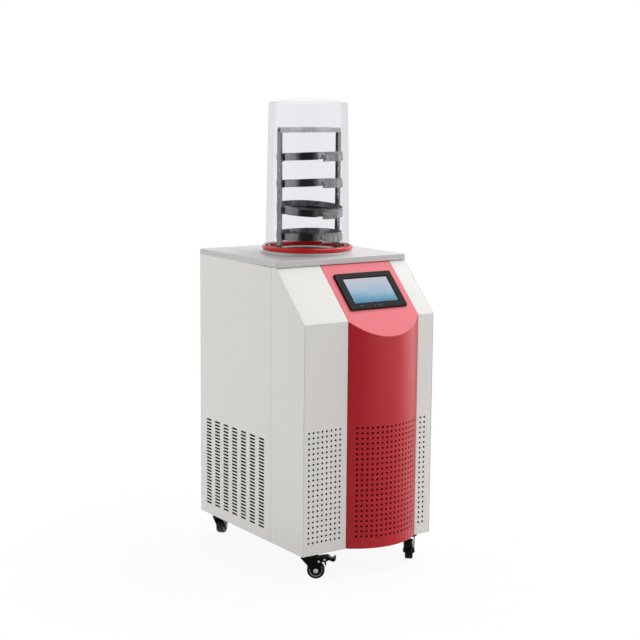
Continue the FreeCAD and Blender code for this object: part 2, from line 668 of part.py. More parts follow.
def fan_shroud():
    # a square plate on the base with a round collar, drawn about the fan's axis and stood up
    body = new_body("fan_shroud")
    half = "(condenser_wide/2)"
    pad(body, "XY_Plane", "0", "2", [
        (f"-{half}", "base_thick-fan_high"), (half, "base_thick-fan_high"), (half, half), (f"-{half}", half),
    ])
    round_pad(body, "XY_Plane", "0", "0", "fan_radius+2", "-collar_deep", "collar_deep")
    round_cut(body, "XY_Plane", "0", "0", "fan_radius")
    keep(body, band_middle, f"{front_face}+{fan_plane}", "caster_high+fan_high", Rotation(Vector(1, 0, 0), 90))


def fan_motor():
    # a motor carried on three arms whose ends stand against the shroud's plate
    body = turned("fan_motor", [
        ("0", "-hub_wall*2"), ("shaft_radius", "-hub_wall*2"), ("shaft_radius", "-collar_deep-4"),
        ("motor_radius", "-collar_deep-4"), ("motor_radius", "-collar_deep-motor_long+6"),
        ("motor_radius-6", "-collar_deep-motor_long"), ("0", "-collar_deep-motor_long"),
    ])
    arm = pad(body, "XY_Plane", "-collar_deep-8", "4", [
        ("motor_radius-4", "-4"), ("fan_radius+8", "-4"), ("fan_radius+8", "4"), ("motor_radius-4", "4"),
    ])
    repeat(body, arm, "PolarPattern", (arm.Profile[0], ["N_Axis"]), "3")
    leg = pad(body, "XY_Plane", "-collar_deep-8", "collar_deep+8", [
        ("fan_radius+4", "-4"), ("fan_radius+8", "-4"), ("fan_radius+8", "4"), ("fan_radius+4", "4"),
    ])
    repeat(body, leg, "PolarPattern", (leg.Profile[0], ["N_Axis"]), "3")
    keep(body, band_middle, f"{front_face}+{fan_plane}", "caster_high+fan_high", Rotation(Vector(1, 0, 0), 90))


def fan_rotor():
    body = new_body("fan_rotor")
    round_pad(body, "XY_Plane", "0", "0", "hub_radius", "-collar_deep+2", "collar_deep-4")
    blade = pad(body, "YZ_Plane", "hub_radius-1", "blade_tip-hub_radius+1", [
        ("-24", "-collar_deep+4"), ("-22", "-collar_deep+3"), ("24", "-5"), ("22", "-4"),
    ])
    repeat(body, blade, "PolarPattern", (document.getObject("fan_rotor_boss"), ["N_Axis"]), "blade_count")
    round_cut(body, "XY_Plane", "0", "0", "shaft_radius+running_gap", "-collar_deep+2", "hub_bore", True)
    keep(body, band_middle, f"{front_face}+{fan_plane}", "caster_high+fan_high", Rotation(Vector(1, 0, 0), 90))


def control_box():
    body = new_body("control_box")
    right, back = f"{half_wide}-fold_lip-6", "cabinet_deep-16"
    pad(body, "XY_Plane", "base_thick", "control_high", [
        (f"{right}-control_wide", f"{back}-control_deep"), (right, f"{back}-control_deep"), (right, back),
        (f"{right}-control_wide", back),
    ])
    keep_in_cabinet(body)


# ---- back of the cabinet ----

def power_inlet():
    # mains inlet module: a flange outside the panel, a three-blade socket, and a well for its rocker
    body = new_body("power_inlet")
    half_x, half_z, wall = "(inlet_wide/2)", "(inlet_high/2)", "2"
    pad(body, "XY_Plane", "0", "2", [
        (f"-{half_x}", f"-{half_z}"), (half_x, f"-{half_z}"), (half_x, half_z), (f"-{half_x}", half_z),
    ])
    x, z = f"({half_x}-{wall}-0.3)", f"({half_z}-{wall}-0.3)"
    pad(body, "XY_Plane", "-inlet_deep", "inlet_deep", [
        (f"-{x}", f"-{z}"), (x, f"-{z}"), (x, z), (f"-{x}", z),
    ])
    cut(body, "XY_Plane", [
        ("-12.5", "-24"), ("12.5", "-24"), ("12.5", "-11"), ("8.5", "-7"), ("-8.5", "-7"), ("-12.5", "-11"),
    ], "2", "18")
    for across, up in (("0", "-12"), ("-7", "-18"), ("7", "-18")):
        pad(body, "XY_Plane", "-16", "14", [
            (f"{across}-1", f"{up}-2"), (f"{across}+1", f"{up}-2"), (f"{across}+1", f"{up}+2"),
            (f"{across}-1", f"{up}+2"),
        ])
    well_x, well_z = "(rocker_half+0.7)", "(rocker_high/2+0.4)"
    cut(body, "XY_Plane", [
        (f"-{well_x}", f"rocker_up-{well_z}"), (well_x, f"rocker_up-{well_z}"),
        (well_x, f"rocker_up+{well_z}"), (f"-{well_x}", f"rocker_up+{well_z}"),
    ], "2", "12")
    round_cut(body, "XZ_Plane", "0", "rocker_out", "trunnion_radius+running_gap",
              "-rocker_up-trunnion_long/2-running_gap", "trunnion_long+2*running_gap", reverse=True)
    keep(body, "inlet_across", f"{front_face}+cabinet_deep", "caster_high+inlet_up",
         Rotation(Vector(0, 1, 1), 180))


def rocker_switch():
    # rocks on two trunnions held in the walls of its well; it rests with one end pressed in
    body = new_body("rocker_switch")
    pad(body, "XY_Plane", "0", "rocker_high", [
        ("-rocker_half", "-2"), ("-4", "-6"), ("4", "-6"), ("rocker_half", "-2"), ("rocker_half", "2.5"),
        ("0", "1.5"), ("-rocker_half", "2.5"),
    ], middle=True)
    round_pad(body, "XY_Plane", "0", "0", "trunnion_radius", "0", "trunnion_long", middle=True)
    keep(body, "inlet_across", f"{front_face}+cabinet_deep+rocker_out", "caster_high+inlet_up+rocker_up",
         Rotation(Vector(0, 0, 1), -value("rocker_tilt")))


def vacuum_port():
    # a tube through the back with a small clamp flange, 15 degrees on its back face
    bore, tube, rim = "port_bore", "port_bore+2", "port_flange"
    body = turned("vacuum_port", [
        (bore, "-20"), (tube, "-20"), (tube, "0"), (f"{rim}-1", "0"), (f"{rim}-1", "3"), (tube, "3"),
        (tube, "port_reach-5.5"), (rim, "port_reach-3.9"), (rim, "port_reach"), (f"{bore}+1", "port_reach"),
        (f"{bore}+1", "port_reach-3"), (bore, "port_reach-3"),
    ], "XY_Plane")
    keep(body, "port_across", f"{front_face}+cabinet_deep", "caster_high+port_up")


def drain_valve():
    # a block on a threaded tail, a hose barb, and a bore from above for the lever's stem
    tail, mid = "valve_size/3-0.1", "(valve_size/2)"
    body = turned("drain_valve", [
        ("3", "-16"), (tail, "-16"), (tail, "0"), (mid, "0"), (mid, "3"), (tail, "3"), (tail, "20"), ("4.2", "20"),
        ("5", "21.5"), ("4.2", "24"), ("5", "25"), ("4", "27.5"), ("3", "27.5"),
    ], "XY_Plane")
    pad(body, "XY_Plane", "0", "valve_size", [
        (f"-{mid}", "4"), (mid, "4"), (mid, "19"), (f"-{mid}", "19"),
    ], middle=True)
    round_cut(body, "XY_Plane", "0", "11.5", "2.5+running_gap", mid, "6")
    keep(body, "port_across", f"{front_face}+cabinet_deep", "caster_high+drain_up")


def drain_lever():
    body = new_body("drain_lever")
    mid = "valve_size/2"
    round_pad(body, "XY_Plane", "0", "0", "2.5", f"{mid}-5.5", "9")
    round_pad(body, "XY_Plane", "0", "0", "5", f"{mid}+0.6", "2")
    pad(body, "XY_Plane", f"{mid}+0.6", "2", [
        ("0", "-3.5"), ("lever_long-6", "-3.5"), ("lever_long", "-2"), ("lever_long", "2"),
        ("lever_long-6", "3.5"), ("0", "3.5"),
    ])
    keep(body, "port_across", f"{front_face}+cabinet_deep+11.5", "caster_high+drain_up")


# ---- casters ----

race_foot = "(plate_thick+race_high)"
web_top = f"({race_foot}+swivel_gap)"
web_foot = f"({web_top}+fork_web)"
axle_down = "(caster_high-wheel_radius)"


def keep_under_base(piece, corner):
    # on the swivel axis, level with the base, turned to the way the wheel trails
    keep_along_trail(piece, corner, "0", "caster_high")


def keep_along_trail(piece, corner, out, height):
    side, end, heading = corner[:3]
    back = "caster_inset" if end < 0 else "cabinet_deep-caster_inset"
    keep(piece, f"{side}*({half_wide}-caster_aside)+cos({heading}*1deg)*{out}",
         f"{front_face}+{back}+sin({heading}*1deg)*{out}", height, Rotation(Vector(0, 0, 1), heading))


def caster_plate(name, corner):
    # top plate, ball race cup and kingpin, riveted as one; it stays square to the cabinet
    body = turned(f"{name}_plate", [
        ("0", "-plate_thick"), ("0", f"-{web_foot}-3"), ("kingpin_radius+3", f"-{web_foot}-3"),
        ("kingpin_radius+3", f"-{web_foot}-swivel_gap"), ("kingpin_radius", f"-{web_foot}-swivel_gap"),
        ("kingpin_radius", f"-{race_foot}"), ("race_radius", f"-{race_foot}"),
        ("race_radius", f"-{race_foot}+2"), ("race_radius-3", "-plate_thick"),
    ])
    plate = draw_on(body, "XY_Plane", f"{name}_flat", "-plate_thick")
    rounded(plate, "(plate_size/2)", "(plate_size/2)", "6")
    add(body, "Pad", plate, "plate_thick")
    keep_under_base(body, (*corner[:2], 0))


def caster_fork(name, corner):
    # pressed fork: a round web under the race, two legs that rake back to the axle, a bore for the kingpin
    body = turned(f"{name}_fork", [
        ("kingpin_radius+running_gap", f"-{web_foot}"), ("fork_radius-2", f"-{web_foot}"),
        ("fork_radius", f"-{web_foot}+2"), ("fork_radius", f"-{web_top}"),
        ("kingpin_radius+running_gap", f"-{web_top}"),
    ])
    leg = [
        ("-fork_radius+3", f"-{web_top}-1"), ("-fork_radius+3", f"-{web_foot}-3"),
        ("trail-8.5", f"-{axle_down}-2.5", "9", "left"), ("trail+8.8", f"-{axle_down}+1"),
        ("pedal_pivot_out+7", "-pedal_pivot_down-3"), ("pedal_pivot_out+5", "-pedal_pivot_down+6"),
        ("fork_radius-2", f"-{web_top}-1"),
    ]
    for side in (-1, 1):
        drawing = draw_on(body, "XZ_Plane", f"{name}_leg", f"{side}*(fork_gap/2+fork_wall/2)")
        outline(drawing, leg)
        add(body, "Pad", drawing, "fork_wall", middle=True)
    round_cut(body, "XZ_Plane", "trail", f"-{axle_down}", "axle_radius")
    if corner[3]:
        round_cut(body, "XZ_Plane", "pedal_pivot_out", "-pedal_pivot_down", "pin_radius")
    keep_under_base(body, corner)


def caster_axle(name, corner):
    # a rivet across the fork with a domed head on each side
    reach = "(fork_gap/2+fork_wall)"
    body = turned(f"{name}_axle", [
        ("0", f"-{reach}-3"), ("axle_radius", f"-{reach}-3"), ("axle_radius+2.5", f"-{reach}-1.5"),
        ("axle_radius+2.5", f"-{reach}"), ("axle_radius", f"-{reach}"), ("axle_radius", reach),
        ("axle_radius+2.5", reach), ("axle_radius+2.5", f"{reach}+1.5"), ("axle_radius", f"{reach}+3"),
        ("0", f"{reach}+3"),
    ], "XY_Plane")
    keep_along_trail(body, corner, "trail", "wheel_radius")


def caster_wheel(name, corner):
    # solid tyre, dished web and hub in one moulding
    half, hub, bore = "(wheel_wide/2)", "(fork_gap/2-swivel_gap)", "axle_radius+running_gap"
    rim, dish = "wheel_radius*0.76", "wheel_wide/2-4"
    body = turned(f"{name}_wheel", [
        (bore, f"-{hub}"), ("axle_radius+4", f"-{hub}"), ("axle_radius+5", f"-({dish})"), (rim, f"-({dish})"),
        (rim, f"-{half}"), ("wheel_radius-2", f"-{half}"), ("wheel_radius", f"-{half}+3"),
        ("wheel_radius", f"{half}-3"), ("wheel_radius-2", half), (rim, half), (rim, dish),
        ("axle_radius+5", dish), ("axle_radius+4", hub), (bore, hub),
    ], "XY_Plane")
    keep_along_trail(body, corner, "trail", "wheel_radius")


def brake_pedal(name, corner):
    # a pressed pedal: a pad that ends in an upturned lip, and a shoe that bears on the tyre when trodden
    body = new_body(f"{name}_pedal")
    out, down = "pedal_pivot_out", "pedal_pivot_down"
    pad(body, "XZ_Plane", "0", "pedal_wide", [
        (f"{out}-5", f"-{down}+3"), (f"{out}-4", f"-{down}+9"), (f"{out}+8", f"-{down}+12"),
        (f"{out}+27", f"-{down}+14"), (f"{out}+38", f"-{down}+5"), (f"{out}+46", f"-{down}+11"),
        (f"{out}+49", f"-{down}+10"), (f"{out}+47", f"-{down}+1"), (f"{out}+40", f"-{down}-2"),
        (f"{out}+29", f"-{down}+2.5"), (f"{out}+21", f"-{down}-2"), (f"{out}+21", f"-{down}-13"),
        (f"{out}+18", f"-{down}-13"), (f"{out}+15", f"-{down}-3"), (f"{out}+3", f"-{down}-3"),
    ], middle=True)
    round_cut(body, "XZ_Plane", out, f"-{down}", "pin_radius+running_gap")
    keep_under_base(body, corner)


def pedal_pin(name, corner):
    # the rivet that the pedal turns on, held in both legs of the fork
    reach = "(fork_gap/2+fork_wall)"
    body = turned(f"{name}_pedal_pin", [
        ("0", f"-{reach}-1.5"), ("pin_radius+1.5", f"-{reach}-1.5"), ("pin_radius+1.5", f"-{reach}"),
        ("pin_radius", f"-{reach}"), ("pin_radius", reach), ("pin_radius+1.5", reach),
        ("pin_radius+1.5", f"{reach}+1.5"), ("0", f"{reach}+1.5"),
    ], "XY_Plane")
    keep_along_trail(body, corner, "pedal_pivot_out", "caster_high-pedal_pivot_down")


side_panel("side_panel_left", -1)
side_panel("side_panel_right", 1)
front_cover("front_cover_left", f"-{half_wide}", "band_left-panel_gap", f"-{half_wide}",
            "band_left-panel_gap-sheet")
front_cover("front_cover_right", "band_right+panel_gap", half_wide, f"{half_wide}-sheet",
            "band_right+panel_gap")
front_panel()
slope_fascia()
rear_panel()
base_plate()
worktop()
chamber_flange()
cold_trap_pot()
evaporator_jacket()
trap_insulation()
seal_ring()
bell_jar()
rack_post("rack_post_left", -1)
rack_post("rack_post_right", 1)
rack_crossbar()
for number, tier in enumerate(tiers, 1):
    shelf(tier, number)
screen_bezel()
screen_glass()
screen_case()
compressor()
condenser()
fan_shroud()
fan_motor()
fan_rotor()
control_box()
power_inlet()
rocker_switch()
vacuum_port()
drain_valve()
drain_lever()

# each caster: its side, front (-1) or back (1), where its wheel trails, and whether it has a brake
casters = {
    "front_left_caster": (-1, -1, -35, True), "front_right_caster": (1, -1, -131, True),
    "rear_left_caster": (-1, 1, 40, False), "rear_right_caster": (1, 1, 160, False),
}
for name, corner in casters.items():
    caster_plate(name, corner)
    caster_fork(name, corner)
    caster_axle(name, corner)
    caster_wheel(name, corner)
    if corner[3]:
        brake_pedal(name, corner)
        pedal_pin(name, corner)

document.recompute()

# ---- check and write ----

for thing in document.Objects:
    if "Invalid" in thing.State or "Error" in thing.State:
        raise RuntimeError(f"{thing.Label} did not build: {thing.State}")
for piece in pieces:
    if piece.Shape.isNull() or not piece.Shape.isValid():
        raise RuntimeError(f"{piece.Label} has no valid shape")

os.makedirs("parts", exist_ok=True)
for piece in pieces:
    piece.Shape.exportStep(f"parts/{piece.Label}.step")
    box = piece.Shape.BoundBox
    low = ", ".join(f"{number:.1f}" for number in (box.XMin, box.YMin, box.ZMin))
    high = ", ".join(f"{number:.1f}" for number in (box.XMax, box.YMax, box.ZMax))
    print(f"{piece.Label}: {len(piece.Shape.Solids)} solid, from ({low}) to ({high})")
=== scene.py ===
import fnmatch
import json
import math

import bpy
import numpy as np
from mathutils import Matrix, Vector


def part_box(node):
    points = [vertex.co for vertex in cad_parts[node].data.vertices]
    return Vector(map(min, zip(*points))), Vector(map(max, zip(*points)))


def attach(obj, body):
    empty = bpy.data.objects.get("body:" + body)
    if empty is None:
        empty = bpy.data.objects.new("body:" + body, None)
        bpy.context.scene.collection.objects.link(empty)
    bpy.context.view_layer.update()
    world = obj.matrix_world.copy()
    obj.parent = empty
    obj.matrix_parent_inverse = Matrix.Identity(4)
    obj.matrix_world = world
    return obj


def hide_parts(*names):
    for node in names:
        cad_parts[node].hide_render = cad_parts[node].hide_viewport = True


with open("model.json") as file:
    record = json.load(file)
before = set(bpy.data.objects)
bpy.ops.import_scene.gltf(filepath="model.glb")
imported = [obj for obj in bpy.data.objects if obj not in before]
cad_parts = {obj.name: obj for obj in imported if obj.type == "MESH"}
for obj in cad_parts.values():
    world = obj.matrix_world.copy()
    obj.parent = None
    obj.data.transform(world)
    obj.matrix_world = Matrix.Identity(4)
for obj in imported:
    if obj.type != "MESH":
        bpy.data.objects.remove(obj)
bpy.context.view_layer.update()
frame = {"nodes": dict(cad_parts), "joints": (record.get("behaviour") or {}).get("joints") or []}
nodes = frame["nodes"]
print("frame loaded,", len(nodes), "nodes")

hair = 0.00001  # turned profiles stop this far short of the axis


def addPiece(name, points, faces, body, material, replaced=(), modifiers=(), sharp=32):
    # one mesh from points and polygons, finished by its modifiers; edges sharper than sharp degrees stay hard
    mesh = bpy.data.meshes.new(name)
    mesh.from_pydata(np.asarray(points).tolist(), [], [face for block in faces for face in block.tolist()])
    piece = bpy.data.objects.new(name, mesh)
    bpy.context.scene.collection.objects.link(piece)
    if modifiers:
        for kind, settings in modifiers:
            modifier = piece.modifiers.new(kind.lower(), kind)
            for setting, value in settings.items():
                setattr(modifier, setting, value)
        baked = piece.evaluated_get(bpy.context.evaluated_depsgraph_get())
        piece.data = bpy.data.meshes.new_from_object(baked)
        piece.data.name = name
        piece.modifiers.clear()
    piece.data.shade_smooth()
    piece.data.set_sharp_from_angle(angle=math.radians(sharp))
    piece.data.materials.clear()
    piece.data.materials.append(material)
    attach(piece, body)
    if replaced:
        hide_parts(*replaced)
    return piece


def gridFaces(rows, columns, closedColumns=False):
    # quads between neighbours of a rows x columns grid whose points are numbered row by row
    i = np.arange(rows - 1)[:, None] * columns
    j = np.arange(columns if closedColumns else columns - 1)[None, :]
    right = (j + 1) % columns
    return np.stack([i + j, i + right, i + columns + right, i + columns + j], -1).reshape(-1, 4)


def joined(*parts):
    # several (points, [faces]) meshes as one, with the later ones renumbered
    points, faces, count = [], [], 0
    for somePoints, someFaces in parts:
        points.append(somePoints)
        faces += [block + count for block in someFaces]
        count += len(somePoints)
    return np.vstack(points), faces


def turned(profile, centre, steps):
    # a profile of (radius, height) points carried round z: x = r cos a, y = r sin a, z = h; an end that stops
    # a hair short of the axis gets a cap
    profile = np.asarray(profile, float)
    angle = np.linspace(0, 2 * np.pi, steps, endpoint=False)
    radius, height = profile[:, :1], profile[:, 1:]
    ring = np.stack([radius * np.cos(angle), radius * np.sin(angle), height + 0 * angle], -1)
    around = np.arange(steps)
    faces = [gridFaces(len(profile), steps, True)]
    for row, order in ((0, around[::-1]), (len(profile) - 1, around)):
        if profile[row, 0] <= hair:
            faces.append((order + row * steps)[None])
    return ring.reshape(-1, 3) + np.asarray(centre), faces


def bentPath(corners, radius, steps=5):
    # Straight runs with every inner corner turned by an arc, and the way walked at each point. For a turn t
    # the arc weighs its start by sin((1 - s) t) / sin t and its end by sin(s t) / sin t, s going from 0 to 1.
    corners = np.asarray(corners, float)
    points = [corners[0]]
    for before, corner, after in zip(corners, corners[1:], corners[2:]):
        into, out = corner - before, after - corner
        into, out = into / np.linalg.norm(into), out / np.linalg.norm(out)
        turn = math.acos(np.clip(into @ out, -1, 1))
        tangent = radius * math.tan(turn / 2)
        inward = (out - into) / np.linalg.norm(out - into)
        centre = corner + inward * radius / math.cos(turn / 2)
        start = corner - into * tangent - centre
        end = corner + out * tangent - centre
        share = np.linspace(0, 1, steps + 1)[:, None]
        arc = (np.sin((1 - share) * turn) * start + np.sin(share * turn) * end) / math.sin(turn)
        points += list(centre + arc)
    points = np.array(points + [corners[-1]])
    walked = np.concatenate([[0], np.cumsum(np.linalg.norm(np.diff(points, axis=0), axis=1))])
    return points, walked


def roundHole(radius, steps=16):
    # a circle that starts towards its cell's lower left corner, and where each quarter starts
    angle = np.arange(steps) * 2 * np.pi / steps - 0.75 * np.pi
    return radius * np.stack([np.cos(angle), np.sin(angle)], 1), np.arange(4) * steps // 4


def longHole(length, height, steps=4):
    # two half circles joined by straight sides, in the same order; the sides belong to the long quarters
    cap, reach = height / 2, (length - height) / 2
    quarter = np.linspace(0, np.pi / 4, steps // 2 + 1)
    low = np.concatenate([quarter - 0.75 * np.pi, quarter - 0.5 * np.pi])
    centres = np.repeat([-reach, reach], len(quarter))
    side = np.linspace(-np.pi / 4, np.pi / 4, steps + 1)[1:-1]
    half = np.stack([centres + cap * np.cos(low), cap * np.sin(low)], 1)
    end = np.stack([reach + cap * np.cos(side), cap * np.sin(side)], 1)
    run = np.vstack([half, end])
    return np.vstack([run, -run]), np.array([0, len(half) - 1, len(run), len(run) + len(half) - 1])


def uprightHole(length, height):
    # the long hole a quarter turn round, numbered again from its lower left
    outline, starts = longHole(length, height)
    outline = np.stack([-outline[:, 1], outline[:, 0]], 1)
    return np.roll(outline, -starts[3], 0), np.roll((starts - starts[3]) % len(outline), 1)


def punchedSheet(surface, uLines, vLines, holes=None, flip=False):
    # a sheet over the grid of uLines by vLines, surface giving its points; a punched cell is four faces,
    # each between one side of the cell and the quarter of the hole's outline that faces it; holes are their
    # columns, their rows and one outline with its quarters' starts
    uLines, vLines = np.unique(np.round(uLines, 7)), np.unique(np.round(vLines, 7))
    columns, rows = len(uLines), len(vLines)
    points = surface(*np.meshgrid(uLines, vLines)).reshape(-1, 3)
    cells = gridFaces(rows, columns)
    faces = [cells]
    if holes:
        centresU, centresV, (outline, starts) = holes
        u, v = [c.ravel() for c in np.meshgrid(centresU, centresV)]
        cell = (np.searchsorted(vLines, v) - 1) * (columns - 1) + np.searchsorted(uLines, u) - 1
        rim = surface(u[:, None] + outline[None, :, 0], v[:, None] + outline[None, :, 1])
        number = len(points) + np.arange(rim.shape[0] * rim.shape[1]).reshape(rim.shape[:2])
        points = np.vstack([points, rim.reshape(-1, 3)])
        faces = [np.delete(cells, cell, axis=0)]
        for side in range(4):
            ends = starts[side], starts[(side + 1) % 4] + (len(outline) if side == 3 else 0)
            quarter = np.arange(ends[0], ends[1] + 1)[::-1] % len(outline)
            corners = cells[cell][:, [side, (side + 1) % 4]]
            faces.append(np.hstack([corners, number[:, quarter]]))
    if flip:
        faces = [block[:, ::-1] for block in faces]
    return points, faces


def addNode(tree, kind, settings=None, **values):
    # a node with its settings, and its sockets by name or by number after "at"
    node = tree.nodes.new(f"ShaderNode{kind}")
    for setting, value in (settings or {}).items():
        setattr(node, setting, value)
    for socket, value in values.items():
        place = int(socket[2:]) if socket[:2] == "at" and socket[2:].isdigit() else socket.replace("_", " ")
        if isinstance(value, bpy.types.NodeSocket):
            tree.links.new(value, node.inputs[place])
        else:
            node.inputs[place].default_value = value
    return node


def numberMath(tree, operation, first, second=0.0, third=0.0):
    return addNode(tree, "Math", {"operation": operation}, at0=first, at1=second, at2=third).outputs[0]


def vectorMath(tree, operation, first, **values):
    # a step on vectors, of which lengths and dot products come out as numbers
    node = addNode(tree, "VectorMath", {"operation": operation}, at0=first, **values)
    return node.outputs["Value" if operation in ("LENGTH", "DOT_PRODUCT") else "Vector"]


def mapRange(tree, value, fromMin, fromMax, toMin=0.0, toMax=1.0, kind="LINEAR"):
    return addNode(tree, "MapRange", {"interpolation_type": kind}, Value=value, From_Min=fromMin,
                   From_Max=fromMax, To_Min=toMin, To_Max=toMax).outputs[0]


def mixColours(tree, share, first, second):
    return addNode(tree, "Mix", {"data_type": "RGBA"}, at0=share, at6=first, at7=second).outputs[2]


def noise(tree, vector, scale, detail, roughness=0.5):
    return addNode(tree, "TexNoise", Vector=vector, Scale=scale, Detail=detail,
                   Roughness=roughness).outputs[0]


def centred(tree, value):
    # noise that swings about zero
    return numberMath(tree, "SUBTRACT", value, 0.5)


def newEffect(name, **numbers):
    # a group that takes a vector, a colour and its own numbers, and gives a height, a roughness and a colour
    group = bpy.data.node_groups.new(name, "ShaderNodeTree")
    taken = [("Vector", "Vector", None), ("Color", "Color", (1, 1, 1, 1))]
    taken += [(label, "Float", value) for label, value in numbers.items()]
    for label, kind, value in taken:
        socket = group.interface.new_socket(label, in_out="INPUT", socket_type=f"NodeSocket{kind}")
        if value is not None:
            socket.default_value = value
    for label, kind in (("Height", "Float"), ("Roughness", "Float"), ("Color", "Color")):
        group.interface.new_socket(label, in_out="OUTPUT", socket_type=f"NodeSocket{kind}")
    return group, group.nodes.new("NodeGroupInput").outputs


def endEffect(group, given, height, rough, shade):
    # what the group gives; its colour is the one it takes, times the shade
    result = group.nodes.new("NodeGroupOutput")
    group.links.new(height, result.inputs["Height"])
    group.links.new(rough, result.inputs["Roughness"])
    group.links.new(vectorMath(group, "SCALE", given["Color"], Scale=shade), result.inputs["Color"])
    return group


def orangePeel():
    # sprayed powder that has flowed: two sizes of soft lumps, and a slow drift of shade over the sheet
    group, given = newEffect("orangePeel", Scale=600.0, Roughness=0.4, Drift=0.03)
    vector, scale = given["Vector"], given["Scale"]
    lumps = noise(group, vector, scale, 1.5)
    fine = noise(group, vector, numberMath(group, "MULTIPLY", scale, 3.1), 1.0)
    height = numberMath(group, "MULTIPLY_ADD", fine, 0.35, lumps)
    slow = noise(group, vector, 5.0, 3.0, 0.55)
    drift = numberMath(group, "MULTIPLY", centred(group, slow), given["Drift"])
    rough = numberMath(group, "MULTIPLY_ADD", drift, 1.5, given["Roughness"])
    return endEffect(group, given, height, rough, numberMath(group, "ADD", drift, 1.0))


def brushedGrain():
    # long fine scratches along the first axis of the vector, as lines of noise stretched that way
    group, given = newEffect("brushedGrain", Across=2500.0, Along=12.0, Roughness=0.3)
    vector, across, along = given["Vector"], given["Across"], given["Along"]
    stretch = addNode(group, "CombineXYZ", X=along, Y=across, Z=across).outputs[0]
    lines = vectorMath(group, "MULTIPLY", vector, at1=stretch)
    grain = noise(group, lines, 1.0, 2.0, 0.7)
    bands = noise(group, vectorMath(group, "SCALE", lines, Scale=0.12), 1.0, 2.0)
    cloud = noise(group, vector, 9.0, 3.0)
    height = numberMath(group, "MULTIPLY_ADD", bands, 0.5, grain)
    change = numberMath(group, "SUBTRACT", height, 0.75)
    rough = numberMath(group, "MULTIPLY_ADD", change, 0.16, given["Roughness"])
    rough = numberMath(group, "MULTIPLY_ADD", centred(group, cloud), 0.08, rough)
    return endEffect(group, given, height, rough, numberMath(group, "MULTIPLY_ADD", change, 0.12, 1.0))


def reflectionStreakedSteel():
    # polished sheet with a fine grain running round it, and upright light and dark streaks painted into its
    # colour: painted reflections of the surroundings, as a bent strip mirrors them
    group, given = newEffect("reflectionStreakedSteel", Across=3000.0, Along=40.0, Roughness=0.2, Contrast=1.6)
    vector, along = given["Vector"], given["Along"]
    # the broad upright bands that swing the colour are painted reflections; the fine grain is the sheet's own
    broad = noise(group, vectorMath(group, "MULTIPLY", vector, at1=(1, 1, 0.12)), along, 3.0, 0.6)
    level = addNode(group, "CombineXYZ", X=along, Y=along, Z=given["Across"]).outputs[0]
    grain = noise(group, vectorMath(group, "MULTIPLY", vector, at1=level), 1.0, 2.0)
    change = numberMath(group, "MULTIPLY", centred(group, broad), given["Contrast"])
    fine = numberMath(group, "MULTIPLY", centred(group, grain), 0.5)
    shade = numberMath(group, "ADD", numberMath(group, "MULTIPLY_ADD", change, 2.0, fine), 1.0)
    rough = numberMath(group, "MULTIPLY_ADD", change, -0.2, given["Roughness"])
    return endEffect(group, given, grain, rough, numberMath(group, "MAXIMUM", shade, 0.12))


def mouldedSkin():
    # the fine spark-eroded skin of moulded plastic and rubber, with a little handling polish
    group, given = newEffect("mouldedSkin", Scale=2200.0, Roughness=0.45, Polish=0.12)
    vector = given["Vector"]
    pits = addNode(group, "TexVoronoi", Vector=vector, Scale=given["Scale"]).outputs[0]
    change = centred(group, noise(group, vector, 26.0, 4.0, 0.6))
    rough = numberMath(group, "MULTIPLY_ADD", change, given["Polish"], given["Roughness"])
    return endEffect(group, given, pits, rough, numberMath(group, "MULTIPLY_ADD", change, 0.35, 1.0))


peelGroup = orangePeel()
grainGroup = brushedGrain()
skinGroup = mouldedSkin()
reflectionStreakGroup = reflectionStreakedSteel()


def newMaterial(name, **sockets):
    material = bpy.data.materials.new(name)
    material.use_nodes = True
    shader = material.node_tree.nodes["Principled BSDF"]
    for socket, value in sockets.items():
        shader.inputs[socket.replace("_", " ")].default_value = value
    return material, material.node_tree, shader


def effectMaterial(name, group, colour, numbers, bump, **sockets):
    # a shader whose colour, roughness and bump come from one of the shared effects on object coordinates;
    # bump is its strength and its height
    material, tree, shader = newMaterial(name, **sockets)
    effect = tree.nodes.new("ShaderNodeGroup")
    effect.node_tree = group
    tree.links.new(addNode(tree, "TexCoord").outputs["Object"], effect.inputs["Vector"])
    effect.inputs["Color"].default_value = (*colour, 1)
    for socket, value in numbers.items():
        effect.inputs[socket].default_value = value
    lift = addNode(tree, "Bump", Height=effect.outputs["Height"], Strength=bump[0], Distance=bump[1])
    tree.links.new(effect.outputs["Color"], shader.inputs["Base Color"])
    tree.links.new(effect.outputs["Roughness"], shader.inputs["Roughness"])
    tree.links.new(lift.outputs[0], shader.inputs["Normal"])
    return material


def powderCoat(name, colour, roughness=0.42, scale=650.0, **sockets):
    numbers = {"Roughness": roughness, "Scale": scale}
    return effectMaterial(name, peelGroup, colour, numbers, (0.25, 0.0002), **sockets)


def brushed(name, colour, roughness=0.3, across=2500.0, **sockets):
    numbers = {"Roughness": roughness, "Across": across}
    return effectMaterial(name, grainGroup, colour, numbers, (0.12, 0.0001), **{"Metallic": 1.0, **sockets})


def reflectionStreaked(name, colour, roughness=0.2, contrast=1.6, along=40.0):
    numbers = {"Roughness": roughness, "Contrast": contrast, "Along": along}
    return effectMaterial(name, reflectionStreakGroup, colour, numbers, (0.1, 0.0001), Metallic=1.0)


def moulded(name, colour, roughness=0.45, scale=2200.0, bump=0.2, **sockets):
    numbers = {"Roughness": roughness, "Scale": scale}
    return effectMaterial(name, skinGroup, colour, numbers, (bump, 0.0001), **sockets)


